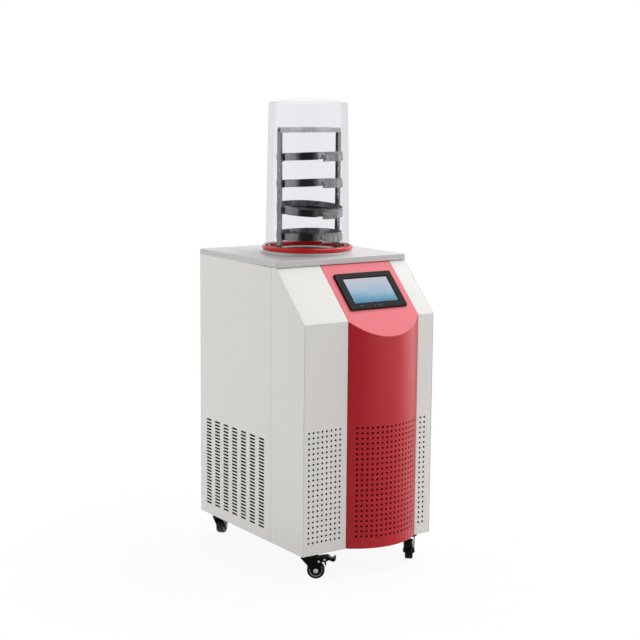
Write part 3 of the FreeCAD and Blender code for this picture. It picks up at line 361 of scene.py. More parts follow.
# each finish has its colour and roughness, then what its effect takes
panelWhite = powderCoat("panelWhite", (0.765, 0.745, 0.715))
bandRed = powderCoat("bandRed", (0.51, 0.005, 0.014), 0.36, 800.0, Specular_IOR_Level=0.62)
# the fascia's red is a paler, pinker copy of the band's red: painted light from above and painted sheen
fasciaRedLit = powderCoat("fasciaRedLit", (0.80, 0.137, 0.173), 0.34, 800.0, Specular_IOR_Level=0.3)
machineBlack = powderCoat("machineBlack", (0.02, 0.02, 0.022), 0.3)
motorGrey = powderCoat("motorGrey", (0.16, 0.165, 0.175), 0.4)
casterBlack = powderCoat("casterBlack", (0.005, 0.005, 0.006), 0.3, 500.0, Specular_IOR_Level=0.25)
zincSheet = brushed("zincSheet", (0.50, 0.51, 0.52), 0.45, 400.0)
stainlessTop = brushed("stainlessTop", (0.57, 0.565, 0.56), 0.5, Metallic=0.4)
potSteel = brushed("potSteel", (0.45, 0.45, 0.45))
copperJacket = brushed("copperJacket", (0.72, 0.36, 0.22), 0.35)
finAluminium = brushed("finAluminium", (0.75, 0.76, 0.77), 0.35)
nickelBrass = brushed("nickelBrass", (0.66, 0.62, 0.54), 0.25)
leverSteel = brushed("leverSteel", (0.58, 0.58, 0.58))
rivetSteel = brushed("rivetSteel", (0.78, 0.78, 0.77), 0.32, 1500.0, Metallic=0.35)
# the rack is one stainless steel in lighter and darker copies: the crossbar's lighter colour is a painted
# highlight, and the posts, hoops, straps and trays are darker for painted shade where they mirror the dark
# room
litCrossbarSteel = reflectionStreaked("litCrossbarSteel", (0.46, 0.46, 0.46), 0.25, 0.6)
shadedRackSteel = reflectionStreaked("shadedRackSteel", (0.22, 0.22, 0.225), 0.2, 0.8)
shadedHoopSteel = reflectionStreaked("shadedHoopSteel", (0.24, 0.24, 0.245), 0.16, 0.9, 28.0)
shadedStrapSteel = reflectionStreaked("shadedStrapSteel", (0.27, 0.27, 0.265), 0.2, 1.3, 60.0)
shadedTraySteel = reflectionStreaked("shadedTraySteel", (0.34, 0.34, 0.35), 0.2, 1.8, 24.0)
siliconeRed = moulded("siliconeRed", (0.60, 0.004, 0.004), 0.2, 900.0, 0.05, Specular_IOR_Level=0.4)
screenBlack = moulded("screenBlack", (0.010, 0.010, 0.011), 0.4, 3000.0, 0.1, Specular_IOR_Level=0.06)
fanBlack = moulded("fanBlack", (0.018, 0.018, 0.02), 0.5)
inletBlack = moulded("inletBlack", (0.016, 0.016, 0.016), 0.42)
rockerBlack = moulded("rockerBlack", (0.022, 0.022, 0.022), 0.25, bump=0.05)
wheelBlack = moulded("wheelBlack", (0.006, 0.006, 0.006), 0.4, 1200.0, Specular_IOR_Level=0.3)
# near-black sheet behind the vent holes: painted shade
ventShadeBlack = moulded("ventShadeBlack", (0.006, 0.006, 0.006), 0.9, 500.0, 0.6, Specular_IOR_Level=0.1)
insulationFoam = moulded("insulationFoam", (0.10, 0.10, 0.10), 0.8, 400.0, 0.6)


bell = {
    "foot": 0.1245,  # outside radius at its foot
    "taper": 0.019,  # radius lost for each metre of height
    "wall": 0.006,
    "bending": 1.16,  # index of refraction
    "tint": (0.905, 0.91, 0.93),
    "rimTint": (0.86, 0.862, 0.875),
    "crownTint": (0.97, 0.97, 0.975),
    "crownSag": 1.474,  # drop of the crown over its radius squared
    "flatFrom": 0.30,  # share of facing away at which light starts to pass straight through
    "flatTo": 0.52,
}


def clearAcrylic():
    # Clear wall with a faint cool cast. It bends light less than solid acrylic, as a thin wall seems to, and
    # lets lamp light through to what it covers, so that it throws hardly a shadow. Where it is met at a flat
    # angle it lets light straight through, or its crown would carry light along like a fibre. There only the
    # outer face is tinted: on the wall r > foot - taper z - wall / 2, and on the crown
    # z + sag r^2 > height - wall / 2.
    material, tree, shader = newMaterial("clearBell", Base_Color=(*bell["tint"], 1), Roughness=0.0,
                                         IOR=bell["bending"], Transmission_Weight=1.0)
    low, high = np.array(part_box("bell_jar"))
    foot = (low[0] + high[0]) / 2, (low[1] + high[1]) / 2, low[2]
    fromFoot = vectorMath(tree, "SUBTRACT", addNode(tree, "TexCoord").outputs["Object"], at1=foot)
    height = addNode(tree, "SeparateXYZ", Vector=fromFoot).outputs[2]
    radius = vectorMath(tree, "LENGTH", vectorMath(tree, "MULTIPLY", fromFoot, at1=(1, 1, 0)))
    tapered = numberMath(tree, "MULTIPLY_ADD", height, bell["taper"], radius)
    outside = numberMath(tree, "GREATER_THAN", tapered, bell["foot"] - bell["wall"] / 2)
    domed = numberMath(tree, "MULTIPLY_ADD", numberMath(tree, "POWER", radius, 2.0), bell["crownSag"], height)
    above = numberMath(tree, "GREATER_THAN", domed, high[2] - low[2] - bell["wall"] / 2)
    crown = mixColours(tree, above, (1, 1, 1, 1), (*bell["crownTint"], 1))
    tint = mixColours(tree, outside, crown, (*bell["rimTint"], 1))
    facing = addNode(tree, "LayerWeight", Blend=0.5).outputs["Facing"]
    edge = mapRange(tree, facing, bell["flatFrom"], bell["flatTo"], kind="SMOOTHSTEP")
    rays = addNode(tree, "LightPath").outputs
    either = numberMath(tree, "MAXIMUM", rays["Is Shadow Ray"], rays["Is Diffuse Ray"])
    share = numberMath(tree, "MAXIMUM", either, edge)
    clear = addNode(tree, "BsdfTransparent", Color=tint)
    mix = addNode(tree, "MixShader", at0=share, at1=shader.outputs[0], at2=clear.outputs[0])
    tree.links.new(mix.outputs[0], tree.nodes["Material Output"].inputs["Surface"])
    return material


display = {
    "half": (0.0758, 0.0431),  # half the lit field's width and height
    "edge": (0.006, 0.006, 0.007),
    "glow": 0.95,
    "tones": [  # place up the field, colour
        (0.0, (0.06, 0.24, 0.38)),
        (0.25, (0.20, 0.40, 0.55)),
        (0.45, (0.36, 0.50, 0.64)),
        (0.72, (0.48, 0.54, 0.64)),
        (1.0, (0.55, 0.56, 0.62)),
    ],
    "spot": (0.8, 0.9, 1),
    "spotShare": 0.35,
}
slopeLean = math.pi / 4  # the fascia and its screen lean back by this


def litDisplay(middle):
    # a start screen without a picture: blue below and pale above, a few soft bright spots low down, and a
    # black edge round it where x / half or y / half reaches 1
    material, tree, shader = newMaterial(
        "litDisplay", Base_Color=(*display["edge"], 1), Roughness=0.3, Specular_IOR_Level=0.0,
        Coat_Weight=0.12, Coat_Roughness=0.03, Emission_Strength=display["glow"])
    local = addNode(tree, "Mapping", {"vector_type": "TEXTURE"}, Location=tuple(middle),
                    Vector=addNode(tree, "TexCoord").outputs["Object"], Rotation=(slopeLean, 0, 0)).outputs[0]
    place, half = addNode(tree, "SeparateXYZ", Vector=local).outputs, display["half"]
    sides = [numberMath(tree, "DIVIDE", numberMath(tree, "ABSOLUTE", place[k]), half[k]) for k in (0, 1)]
    inside = numberMath(tree, "LESS_THAN", numberMath(tree, "MAXIMUM", *sides), 1.0)
    up = mapRange(tree, place[1], -half[1], half[1])
    cloud = noise(tree, local, 22.0, 3.0)
    sky = addNode(tree, "ValToRGB", Fac=numberMath(tree, "MULTIPLY_ADD", centred(tree, cloud), 0.35, up))
    while len(sky.color_ramp.elements) < len(display["tones"]):
        sky.color_ramp.elements.new(0.5)
    for stop, (position, colour) in zip(sky.color_ramp.elements, display["tones"]):
        stop.position, stop.color = position, (*colour, 1)
    cells = addNode(tree, "TexVoronoi", Vector=local, Scale=60.0).outputs[0]
    spots = numberMath(tree, "MULTIPLY", mapRange(tree, cells, 0.16, 0.08), mapRange(tree, up, 0.6, 0.3))
    share = numberMath(tree, "MULTIPLY", spots, display["spotShare"])
    spotted = mixColours(tree, share, sky.outputs[0], (*display["spot"], 1))
    tree.links.new(mixColours(tree, inside, (0, 0, 0, 1), spotted), shader.inputs["Emission Color"])
    return material


painted = set()


def paint(material, *patterns):
    # gives CAD nodes their finish; a star stands for any letters
    for node in [node for pattern in patterns for node in fnmatch.filter(nodes, pattern)]:
        nodes[node].data.materials.clear()
        nodes[node].data.materials.append(material)
        painted.add(node)


print("finishes ready")

cabinet = {
    "sheet": 0.0012,  # folded sheet
    "bowSheet": 0.0015,
    "bend": 0.0015,  # outside radius of the folds
    "slopeSetback": 0.1435,
    "returnDepth": 0.014,  # of the covers' fold beside the band
    "lip": 0.012,  # folded in round the side panels
    "slit": 0.0004,  # between the cover's two plates
    "slitDepth": 0.005,
    "slitEnd": 0.003,  # it closes over this height above the fold
    "seam": 0.0004,  # between cover and side panel
    "topGap": (0.0016, 0.0003),  # under the worktop's edge: at the seam, and further back
    "topGapLength": 0.15,
    "bandGap": 0.0006,  # on each side of the bow
    "liningDepth": 0.004,
    "liningThick": 0.0005,
    "ventPitch": 0.015,
    "ventRadius": 0.0034,
    "ventRows": 22,
    "firstVent": 0.036,  # height of the lowest row above the cabinet's edge
    "leftVents": (-0.206, 8),  # first column from the middle, and how many
    "rightVents": (0.1836, 2),
    "bowVents": 15,
    "slotLength": 0.030,
    "slotHeight": 0.0056,
    "slotStep": 0.050,
    "slotRise": 0.010,
    "firstSlot": (0.217, 0.036),  # back from the front face, and up
    "slotCount": (7, 27),
}

coverLow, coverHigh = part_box("front_cover_left")
frontY, floorZ, topZ = coverLow[1], coverLow[2], coverHigh[2]
foldHeight = topZ - floorZ - cabinet["slopeSetback"]
slopeLength = cabinet["slopeSetback"] * math.sqrt(2)
ventHeights = cabinet["firstVent"] + cabinet["ventPitch"] * np.arange(cabinet["ventRows"])
solidify = ("SOLIDIFY", {"thickness": cabinet["sheet"], "offset": -1, "use_even_offset": True})


def cellLines(centres, pitch):
    # the lines between evenly spaced cells, and round the outer ones
    return np.concatenate([centres - pitch / 2, centres[-1:] + pitch / 2])


def ventShadeLining(name, surface, columns, rows, pitch, shift, flip=False):
    # a black sheet behind the punched field, painted shade for the dark inside of the cabinet: the sheet's
    # own surface moved in by shift
    points, faces = punchedSheet(lambda u, v: surface(u, v) + np.array(shift),
                                 cellLines(columns, pitch[0]), cellLines(rows, pitch[1])[[0, -1]], flip=flip)
    cloth = ("SOLIDIFY", {"thickness": cabinet["liningThick"], "offset": -1})
    return addPiece(name, points, faces, "cabinet", ventShadeBlack, modifiers=[cloth])


def frontCover(name, innerX, outerX, seamY, vents):
    # Two plates with a fine slit at the corner. The front one's section runs from the return beside the band,
    # across the front and in at the slit; the other one is flat, from the corner back to the seam. Each point
    # is carried up the front and then up the slope, set in by its depth from the outside face. On the flat
    # plate reach goes from 0 at the corner to 1 at the seam, and y and z are weighted by it.
    bend, inward, pitch = cabinet["bend"], math.copysign(1, innerX - outerX), cabinet["ventPitch"]
    cornerX = outerX + inward * (cabinet["sheet"] + cabinet["slit"])
    section, walked = bentPath([(innerX, cabinet["returnDepth"]), (innerX, 0), (cornerX, 0),
                                (cornerX, cabinet["slitDepth"])], bend)
    atCorner = (np.abs(section[:, 0] - cornerX) < bend * 0.99).astype(float)  # past the arc's first point
    heights = np.array([0, foldHeight, foldHeight + slopeLength])
    closed = foldHeight + cabinet["slitEnd"]

    def carried(x, depth, reach, v):
        rise = np.interp(v, heights, [0, foldHeight, topZ - floorZ])
        rise = rise - reach * cabinet["topGap"][0] * (v > foldHeight)
        setIn = np.interp(v, heights, [1, 1, math.sqrt(2)]) * depth
        drop = np.interp(v, heights, [0, math.sqrt(2) - 1, 0]) * depth
        y = np.interp(v, heights, [0, 0, cabinet["slopeSetback"]]) + setIn
        y, z = (1 - reach) * y + reach * (seamY - frontY), rise - (1 - reach) * drop
        return np.stack([x + 0 * y, frontY + y, floorZ + z], -1)

    def front(u, v):
        x, depth = np.interp(u, walked, section[:, 0]), np.interp(u, walked, section[:, 1])
        shut = np.interp(u, walked, atCorner) * np.interp(v, [foldHeight, closed], [0, cabinet["slit"]])
        return carried(x - inward * shut, depth, 0, v)

    def aside(u, v):
        return carried(outerX, 0, u, v)

    first, count = vents
    across = first + pitch * np.arange(count)
    flat = walked[np.argmax(np.isclose(section[:, 1], 0))]
    columns = np.sort(flat + np.abs(across - innerX) - bend)
    uLines = np.concatenate([walked, cellLines(columns, pitch)])
    vLines = np.concatenate([heights, [closed], cellLines(ventHeights, pitch)])
    hole, flip = roundHole(cabinet["ventRadius"]), outerX < innerX
    points, faces = joined(punchedSheet(front, uLines, vLines, (columns, ventHeights, hole), flip),
                           punchedSheet(aside, [0, 1], heights, flip=flip))
    ventShadeLining(name.replace("cover", "lining"), front, columns, ventHeights, (pitch, pitch),
               (0, cabinet["liningDepth"], 0), flip)
    return addPiece(name, points, faces, "cabinet", panelWhite, [name], [solidify])


for name, inner, outer, vents in (("front_cover_left", 1, 0, "leftVents"),
                                  ("front_cover_right", 0, 1, "rightVents")):
    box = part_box(name)
    frontCover(name, box[inner][0], box[outer][0], box[1][1], cabinet[vents])


def bowedPanel(name="front_panel"):
    # A circular arc between two straight returns: x = R sin a, y = -R cos a. Its top edge climbs at 45
    # degrees with the depth, so that it meets the underside of the slope's plate.
    low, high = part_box(name)
    half, bulge = (high[0] - low[0]) / 2 - cabinet["bandGap"], frontY - low[1]
    radius = (half**2 + bulge**2) / (2 * bulge)
    sweep, middleX, centreY = math.asin(half / radius), (low[0] + high[0]) / 2, low[1] + radius
    depth, pitch, count = high[1] - frontY, cabinet["ventPitch"], cabinet["bowVents"]
    arcEnd = depth + 2 * radius * sweep
    columns = depth + radius * sweep + pitch * (np.arange(count) - (count - 1) / 2)
    plain = ventHeights[-1] + pitch / 2
    mitre = foldHeight - cabinet["bowSheet"] * math.sqrt(2)

    def surface(u, v):
        angle = np.clip((u - depth) / radius - sweep, -sweep, sweep)
        x, y = middleX + radius * np.sin(angle), centreY - radius * np.cos(angle)
        y = y + np.maximum(depth - u, 0) + np.maximum(u - arcEnd, 0)
        edge = mitre + y - frontY
        z = np.where(v > plain, plain + (v - plain) / (mitre - plain) * (edge - plain), v)
        return np.stack([x, y, floorZ + z], -1)

    ends = np.array([0, depth, arcEnd, arcEnd + depth])
    margins = [np.linspace(depth, columns[0] - pitch / 2, 5), np.linspace(columns[-1] + pitch / 2, arcEnd, 5)]
    uLines = np.concatenate([ends, *margins, cellLines(columns, pitch)])
    vLines = np.concatenate([[0, mitre], cellLines(ventHeights, pitch)])
    points, faces = punchedSheet(surface, uLines, vLines,
                                 (columns, ventHeights, roundHole(cabinet["ventRadius"])))
    thick = ("SOLIDIFY", {"thickness": cabinet["bowSheet"], "offset": -1, "use_even_offset": True})
    ventShadeLining("front_lining_middle", surface, columns, ventHeights, (pitch, pitch),
               (0, cabinet["liningDepth"], 0))
    return addPiece(name, points, faces, "cabinet", bandRed, [name], [thick])


bowedPanel()


def sidePanel(name):
    # The flat side with a lip folded in along its front and back, and a separate lip along its foot. x and y
    # walk the folded section, and z = v less a drop under the worktop that fades towards the back.
    low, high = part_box(name)
    side = 1 if high[0] > 0 else -1
    outer = max(abs(low[0]), abs(high[0]))
    front = low[1] + cabinet["seam"]
    section, walked = bentPath([
        (outer - cabinet["lip"], front), (outer, front), (outer, high[1]),
        (outer - cabinet["lip"], high[1])], cabinet["bend"])
    steps, rises = [np.arange(count) for count in cabinet["slotCount"]]
    back, up = cabinet["firstSlot"]
    start = walked[np.argmax(np.isclose(section[:, 0], outer))] - cabinet["bend"]
    columns = start + frontY + back + cabinet["slotStep"] * steps - front
    rows = up + cabinet["slotRise"] * rises

    def surface(u, v):
        x, y = [np.interp(u, walked, section[:, k]) for k in (0, 1)]
        drop = np.interp(y - front, [0, cabinet["topGapLength"]], cabinet["topGap"])
        return np.stack([side * x, y, floorZ + v * (1 - drop / (high[2] - low[2]))], -1)

    main = punchedSheet(
        surface, np.concatenate([walked, cellLines(columns, cabinet["slotStep"])]),
        np.concatenate([[0, high[2] - low[2]], cellLines(rows, cabinet["slotRise"])]),
        (columns, rows, longHole(cabinet["slotLength"], cabinet["slotHeight"])), side < 0)

    def foot(u, v):
        return np.stack([side * (outer - cabinet["sheet"] - v), u, floorZ + 0 * u], -1)

    reach = np.array([0, cabinet["lip"] - cabinet["sheet"]])
    along = np.array([front + cabinet["bend"], high[1] - cabinet["bend"]])
    points, faces = joined(main, punchedSheet(foot, along, reach, flip=side > 0))
    ventShadeLining(name.replace("panel", "lining"), surface, columns, rows,
               (cabinet["slotStep"], cabinet["slotRise"]), (-side * cabinet["liningDepth"], 0, 0), side < 0)
    return addPiece(name, points, faces, "cabinet", panelWhite, [name], [solidify])


sidePanel("side_panel_left")
sidePanel("side_panel_right")
print("cabinet sheets punched")

screws = {
    "count": 6,
    "circle": 0.091,
    "radius": 0.0045,
    "height": 0.0028,
    "edge": 0.0006,  # straight edge under the dome
    "socket": 0.0022,
}


def flangeScrews():
    # button heads with a socket, evenly round the chamber's flange; the dome is r = R cos a,
    # z = edge + (height - edge) sin a
    low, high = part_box("chamber_flange")
    middle = (low + high) / 2
    reach, tall, edge, socket = [screws[size] for size in ("radius", "height", "edge", "socket")]
    arc = np.linspace(0, 1.1, 7)
    dome = np.stack([reach * np.cos(arc), edge + (tall - edge) * np.sin(arc)], 1)
    profile = np.vstack([[(hair, 0), (reach, 0)], dome,
                         [(socket, tall * 0.93), (socket, tall * 0.35), (hair, tall * 0.3)]])
    parts = []
    for angle in (np.arange(screws["count"]) + 0.5) * 2 * np.pi / screws["count"]:
        place = (middle[0] + screws["circle"] * math.cos(angle),
                 middle[1] + screws["circle"] * math.sin(angle), high[2])
        parts.append(turned(profile, place, 24))
    points, faces = joined(*parts)
    return addPiece("flange_screws", points, faces, "cabinet", rivetSteel)


flangeScrews()

seal = {
    "seat": 0.1248,  # outer wall of the groove that the bell stands in
    "lip": 0.1182,  # inner wall of the groove
    "inner": 0.1126,
    "floor": 0.0035,  # of the groove
    "undercut": 0.0045,
    "foot": 0.001,
}


def sealRing(name="seal_ring"):
    # A soft bead outside the bell's foot, the groove under the bell and a low ridge inside it. The bead's top
    # is half a circle, r = m - h cos a, z = t + h sin a, and below it the flank turns in to the foot.
    low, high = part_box(name)
    middle, outer, tall = (low + high) / 2, (high[0] - low[0]) / 2, high[2] - low[2]
    seat, lip, inner, undercut = [seal[size] for size in ("seat", "lip", "inner", "undercut")]
    half, ridgeHalf = (outer - seat) / 2, (lip - inner) / 2
    crown = tall - half
    arc, turnIn = np.linspace(0, np.pi, 13), np.linspace(0, np.pi / 2, 7)[1:]
    ridge = np.stack([inner + ridgeHalf * (1 - np.cos(arc)), tall - ridgeHalf * (1 - np.sin(arc))], 1)
    groove = [(lip, seal["floor"]), (seat, seal["floor"])]
    bead = np.stack([outer - half - half * np.cos(arc), crown + half * np.sin(arc)], 1)
    flank = np.stack([outer - undercut * (1 - np.cos(turnIn)),
                      crown - (crown - seal["foot"]) * np.sin(turnIn)], 1)
    profile = np.vstack([[(inner, 0)], ridge, groove, bead, flank, [(outer - undercut, 0), (inner, 0)]])
    points, faces = turned(profile[::-1], (middle[0], middle[1], low[2]), 128)
    return addPiece(name, points, faces, "cabinet", siliconeRed, [name], sharp=50)


sealRing()

glassLow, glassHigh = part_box("screen_glass")
slopeUp, slopeOut = Vector((0, 1, 1)).normalized(), Vector((0, -1, 1)).normalized()
indicators = {
    "radius": 0.0014,
    "dome": 0.0003,
    "spacing": 0.0115,
    "drop": 0.0535,  # below the middle of the glass
    "corner": 0.058,  # the green one, left of the middle
    "face": 0.0021,  # the bezel's face above the glass's middle
}


def onScreen(across, up, out):
    # a place on the screen from the middle of its glass: across, up the slope and out of its face
    middle = (Vector(glassLow) + Vector(glassHigh)) / 2
    return middle + Vector((across, 0, 0)) + up * slopeUp + out * slopeOut


def screenLamps(name, places, tint):
    # small domed windows under the picture, turned round z and then leant back with the slope
    reach, dome = indicators["radius"], indicators["dome"]
    profile = [(hair, 0), (reach, 0), (reach * 0.7, dome), (hair, dome)]
    points, faces = turned(profile, (0, 0, 0), 20)
    lean = np.array(Matrix.Rotation(slopeLean, 3, "X"))
    middles = [onScreen(across, -indicators["drop"], indicators["face"]) for across in places]
    points, faces = joined(*[(points @ lean.T + np.array(middle), faces) for middle in middles])
    lens = moulded(f"{name}Lens", tint, 0.2, bump=0.02)
    addPiece(name, points, faces, "cabinet", lens)


screenLamps("screen_lamps", (-indicators["spacing"], 0, indicators["spacing"]), (0.20, 0.21, 0.22))
screenLamps("screen_power_lamp", [-indicators["corner"]], (0.03, 0.42, 0.30))

strap = {
    "radius": 0.0982,
    "thick": 0.0012,
    "high": 0.020,
    "drop": 0.003,  # below the hoop's middle
    "reach": (-101, -40),  # degrees round the hoop
    "steps": 24,
    "slot": (0.011, 0.004),
    "slotFrom": 0.006,  # the slot's middle from the strap's end
    "margin": 0.003,  # half the slot's cell, and the strap's rim above and below it
}


def hoopFrame(name):
    # the hoop's middle and the directions of its tilt, from the plane z = ax + by + c nearest its points
    mesh = nodes[name].data
    points = np.empty(len(mesh.vertices) * 3)
    mesh.vertices.foreach_get("co", points)
    points = points.reshape(-1, 3)
    slope = np.linalg.lstsq(np.c_[points[:, :2], np.ones(len(points))], points[:, 2], rcond=None)[0]
    up = np.array([-slope[0], -slope[1], 1])
    up /= np.linalg.norm(up)
    across = np.cross([0, 1, 0], up)
    across /= np.linalg.norm(across)
    low, high = np.array(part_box(name))
    middle = (low + high) / 2
    middle[2] = slope @ [middle[0], middle[1], 1]
    return middle, across, np.cross(up, across), up


def hoopStrap(number):
    # the strap end that overlaps each hoop in front: a band on the cylinder x = r cos a, y = r sin a, with a
    # slot over the hoop's gap, and a black fill in the slot, painted shade where the slot looks dark
    middle, across, ahead, up = hoopFrame(f"rack_hoop_{number}")
    radius, tall, margin = strap["radius"], strap["high"], strap["margin"]
    first, last = np.radians(strap["reach"])

    def surface(u, v):
        angle = first + u / radius
        out = np.cos(angle)[..., None] * across + np.sin(angle)[..., None] * ahead
        return middle + radius * out + (v - tall / 2 - strap["drop"])[..., None] * up

    slot = np.array([strap["slotFrom"]])
    uLines = np.linspace(0, radius * (last - first), strap["steps"] + 1)
    uLines = np.concatenate([uLines[np.abs(uLines - slot) > margin], slot - margin, slot + margin])
    points, faces = punchedSheet(surface, uLines, [0, margin, tall - margin, tall],
                                 (slot, np.array([tall / 2]), uprightHole(*strap["slot"])))
    thick = ("SOLIDIFY", {"thickness": strap["thick"], "offset": 1, "use_even_offset": True})
    addPiece(f"hoop_strap_{number}", points, faces, "cabinet", shadedStrapSteel, modifiers=[thick])

    # the black fill in the slot is painted shade
    slotHigh, slotWide = strap["slot"]
    points, faces = punchedSheet(surface, slot + slotWide * np.linspace(-0.45, 0.45, 4),
                                 tall / 2 + slotHigh * np.linspace(-0.5, 0.5, 4))
    filled = ("SOLIDIFY", {"thickness": strap["thick"] / 2, "offset": 1})
    addPiece(f"hoop_slot_shade_{number}", points, faces, "cabinet", inletBlack, modifiers=[filled])


wheelHighlightBead = {
    "radius": 0.0182,
    "thick": 0.0013,
    "half": 0.0072,  # from the wheel's middle to its face
}
pedalRivets = {
    "ahead": 0.0165,  # of the pedal's pin
    "up": 0.004,
    "radius": 0.0032,
    "half": 0.0115,  # half the pedal's width
    "tall": 0.0014,
}
joints = {joint["name"]: joint for joint in frame["joints"]}


def alongAxis(points, joint):
    # points made round z, turned so that z lies along the joint's axis
    turn = Vector(joints[joint]["axis"]).to_track_quat("Z", "Y").to_matrix()
    return points @ np.array(turn).T


def wheelHighlightRing(caster):
    # a pale steel bead on each face of the wheel, a painted highlight where the tyre meets the hub: r = R + t
    # cos a, z = face + t sin a
    low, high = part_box(f"{caster}_wheel")
    around = np.linspace(0, 2 * np.pi, 11)
    thick = wheelHighlightBead["thick"]
    parts = []
    for face in (-wheelHighlightBead["half"], wheelHighlightBead["half"]):
        loop = np.stack([wheelHighlightBead["radius"] + thick * np.cos(around), face + thick * np.sin(around)], 1)
        parts.append(turned(loop, (0, 0, 0), 48))
    points, faces = joined(*parts)
    points = alongAxis(points, f"{caster}_roll") + np.array(low + high) / 2
    return addPiece(f"{caster}_ring", points, faces, f"{caster}_roller", rivetSteel)


def pedalRivet(caster):
    # the second rivet through a brake pedal, domed on both sides
    pivot, swivel = [np.array(joints[f"{caster}_{move}"]["pos_m"]) for move in ("press", "turn")]
    ahead = (pivot - swivel) * (1, 1, 0)
    place = pivot + ahead / np.linalg.norm(ahead) * pedalRivets["ahead"] + (0, 0, pedalRivets["up"])
    reach, half, tall = [pedalRivets[size] for size in ("radius", "half", "tall")]
    dome = np.array([(reach / 2, half), (reach, half), (reach * 0.92, half + tall * 0.5),
                     (reach * 0.6, half + tall * 0.9), (hair, half + tall)])
    points, faces = turned(np.vstack([dome[::-1] * (1, -1), dome]), (0, 0, 0), 24)
    points = alongAxis(points, f"{caster}_press") + place
    return addPiece(f"{caster}_rivet", points, faces, f"{caster}_brake", rivetSteel)


for number in range(1, 5):
    hoopStrap(number)
for side in ("left", "right"):
    pedalRivet(f"front_{side}_caster")

casters = [f"{end}_{side}_caster" for end in ("front", "rear") for side in ("left", "right")]
for caster in casters:
    wheelHighlightRing(caster)
print("details added")

paint(panelWhite, "rear_panel")
paint(fasciaRedLit, "slope_fascia")
paint(zincSheet, "base_plate")
paint(stainlessTop, "worktop", "chamber_flange")
paint(shadedRackSteel, "rack_post_*")
paint(litCrossbarSteel, "rack_crossbar")
paint(shadedHoopSteel, "rack_hoop_*")
paint(potSteel, "cold_trap_pot", "vacuum_port")
paint(shadedTraySteel, "tray_*")
paint(copperJacket, "evaporator_jacket")
paint(insulationFoam, "trap_insulation")
paint(clearAcrylic(), "bell_jar")
paint(screenBlack, "screen_bezel", "screen_case")
paint(litDisplay(onScreen(0, 0, 0)), "screen_glass")
paint(machineBlack, "compressor", "fan_shroud")
paint(finAluminium, "condenser")
paint(motorGrey, "fan_motor", "control_box")
paint(fanBlack, "fan_rotor")
paint(inletBlack, "power_inlet")
paint(rockerBlack, "rocker_switch")
paint(nickelBrass, "drain_valve")
paint(leverSteel, "drain_lever")
paint(casterBlack, "*_caster_plate", "*_caster_fork", "*_caster_pedal")
paint(wheelBlack, "*_caster_wheel")
paint(rivetSteel, "*_caster_axle", "*_caster_pedal_pin")
redrawn = {"seal_ring", "front_panel", "front_cover_left", "front_cover_right", "side_panel_left",
           "side_panel_right"}
print("nodes without a finish:", [name for name in nodes if name not in painted | redrawn])


studio = {
    "cameraPlace": (-2.3828, -3.4936, 1.3385),
    "cameraAhead": (0.5595, 0.8149, -0.1509),
    "cameraRoll": math.radians(0.477),
    "lens": 81.14,
    "lamps": [  # place, aim, size, power, and whether glossy surfaces mirror it
        ((1.5, 0.2, 3.7), (0, 0, 0.8), 3.0, 100, True),
        ((-4.0, 1.2, 1.8), (0, 0, 0.6), 3.0, 68, False),
        ((1.7, -4.3, 1.1), (0, 0, 0.4), 3.0, 50, False),
        ((2.6, -0.4, 1.1), (0, 0, 0.6), 2.4, 16, True),
    ],
    "worldLight": 0.34,
    "darkWorld": ((-0.68, -0.73, 0.0), 0.70, 0.96),  # its dark end, and where the dark begins and is full
    "darkFloor": ((-0.45, -0.89, 0.0), -0.1, 0.9),
    "darkTone": 0.05,
    "floorHalf": 3.5,
    "floorGrey": (0.88, 0.88, 0.88),
    "floorGlow": (0.92, 1.0),  # share of plain white near the machine and far from it
    "floorFade": (0.35, 1.2),
}


def addCamera():
    # looks ahead, and its right side is level before the roll
    ahead = Vector(studio["cameraAhead"]).normalized()
    level = ahead.cross(Vector((0, 0, 1))).normalized()
    right = level * math.cos(studio["cameraRoll"]) + level.cross(ahead) * math.sin(studio["cameraRoll"])
    turn = Matrix((right, right.cross(ahead), -ahead)).transposed().to_4x4()
    camera = bpy.data.objects.new("camera", bpy.data.cameras.new("camera"))
    camera.data.lens, camera.data.sensor_width = studio["lens"], 36
    camera.matrix_world = Matrix.Translation(studio["cameraPlace"]) @ turn
    bpy.context.scene.collection.objects.link(camera)
    bpy.context.scene.camera = camera


def addLamps():
    for number, (place, aim, size, power, mirrored) in enumerate(studio["lamps"]):
        lamp = bpy.data.lights.new(f"softbox{number}", "AREA")
        lamp.shape, lamp.size, lamp.energy = "SQUARE", size, power
        holder = bpy.data.objects.new(f"softbox{number}", lamp)
        holder.visible_glossy = mirrored
        holder.visible_transmission = False
        holder.location = place
        holder.rotation_euler = (Vector(place) - Vector(aim)).to_track_quat("Z", "Y").to_euler()
        bpy.context.scene.collection.objects.link(holder)


def mirroredTone(tree, rays, place, darkEnd, first, last):
    # white, but glossy rays see the surroundings darken towards the dark end, from first to last in cosine
    level = vectorMath(tree, "NORMALIZE", vectorMath(tree, "MULTIPLY", place, at1=(1, 1, 0)))
    facing = vectorMath(tree, "DOT_PRODUCT", level, at1=darkEnd)
    tone = mapRange(tree, facing, first, last, 1.0, studio["darkTone"], "SMOOTHSTEP")
    mirrored = numberMath(tree, "MINIMUM", rays["Glossy Depth"], 1.0)
    return numberMath(tree, "MULTIPLY_ADD", mirrored, numberMath(tree, "SUBTRACT", tone, 1.0), 1.0)


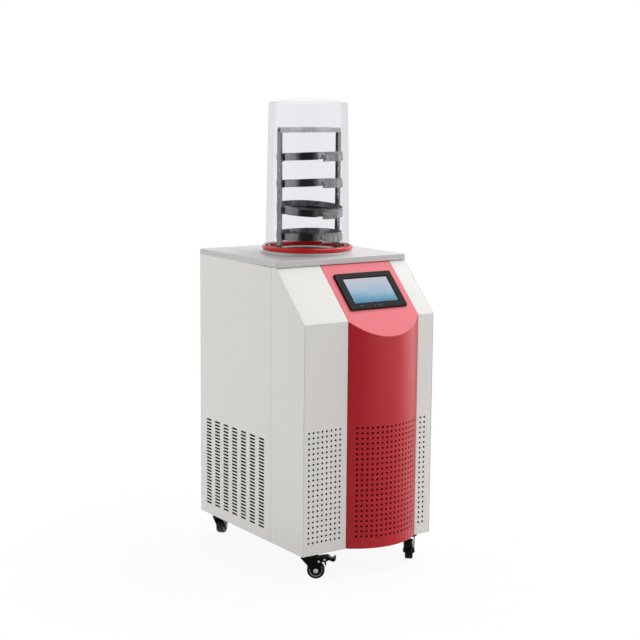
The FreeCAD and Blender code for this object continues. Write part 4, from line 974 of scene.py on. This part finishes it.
def seenAtAll(tree, rays):
    # one for what is looked at, through the bell or in a reflection too, and nothing for light on its way
    seen = numberMath(tree, "MAXIMUM", rays["Is Camera Ray"], rays["Is Transmission Ray"])
    return numberMath(tree, "MAXIMUM", seen, rays["Is Glossy Ray"])


def addWorld():
    # white wherever it is seen, dimmer as light
    world = bpy.data.worlds.new("studio")
    world.use_nodes = True
    tree = world.node_tree
    rays, place = addNode(tree, "LightPath").outputs, addNode(tree, "TexCoord").outputs["Generated"]
    extra = numberMath(tree, "SUBTRACT", mirroredTone(tree, rays, place, *studio["darkWorld"]),
                       studio["worldLight"])
    strength = numberMath(tree, "MULTIPLY_ADD", seenAtAll(tree, rays), extra, studio["worldLight"])
    background = tree.nodes["Background"]
    background.inputs["Color"].default_value = (1, 1, 1, 1)
    tree.links.new(strength, background.inputs["Strength"])
    bpy.context.scene.world = world


def addFloor():
    # paper that takes shadows near the machine, turns into plain white further off and is clear from below
    half = studio["floorHalf"]
    mesh = bpy.data.meshes.new("floor")
    mesh.from_pydata([(-half, -half, 0), (half, -half, 0), (half, half, 0), (-half, half, 0)], [],
                     [(0, 1, 2, 3)])
    material, tree, shader = newMaterial("floorPaper", Roughness=0.9, Base_Color=(*studio["floorGrey"], 1))
    rays, place = addNode(tree, "LightPath").outputs, addNode(tree, "TexCoord").outputs["Object"]
    glow = addNode(tree, "Emission", Strength=mirroredTone(tree, rays, place, *studio["darkFloor"]))
    white = mapRange(tree, vectorMath(tree, "LENGTH", place), *studio["floorFade"], *studio["floorGlow"],
                     "SMOOTHSTEP")
    share = numberMath(tree, "MULTIPLY", seenAtAll(tree, rays), white)
    above = addNode(tree, "MixShader", at0=share, at1=shader.outputs[0], at2=glow.outputs[0])
    under, clear = addNode(tree, "NewGeometry").outputs["Backfacing"], addNode(tree, "BsdfTransparent")
    oneSided = addNode(tree, "MixShader", at0=under, at1=above.outputs[0], at2=clear.outputs[0])
    tree.links.new(oneSided.outputs[0], tree.nodes["Material Output"].inputs["Surface"])
    mesh.materials.append(material)
    floor = bpy.data.objects.new("floor", mesh)
    bpy.context.scene.collection.objects.link(floor)


addCamera()
addLamps()
addWorld()
addFloor()
bpy.context.scene.view_settings.view_transform = "Standard"
print("studio ready")
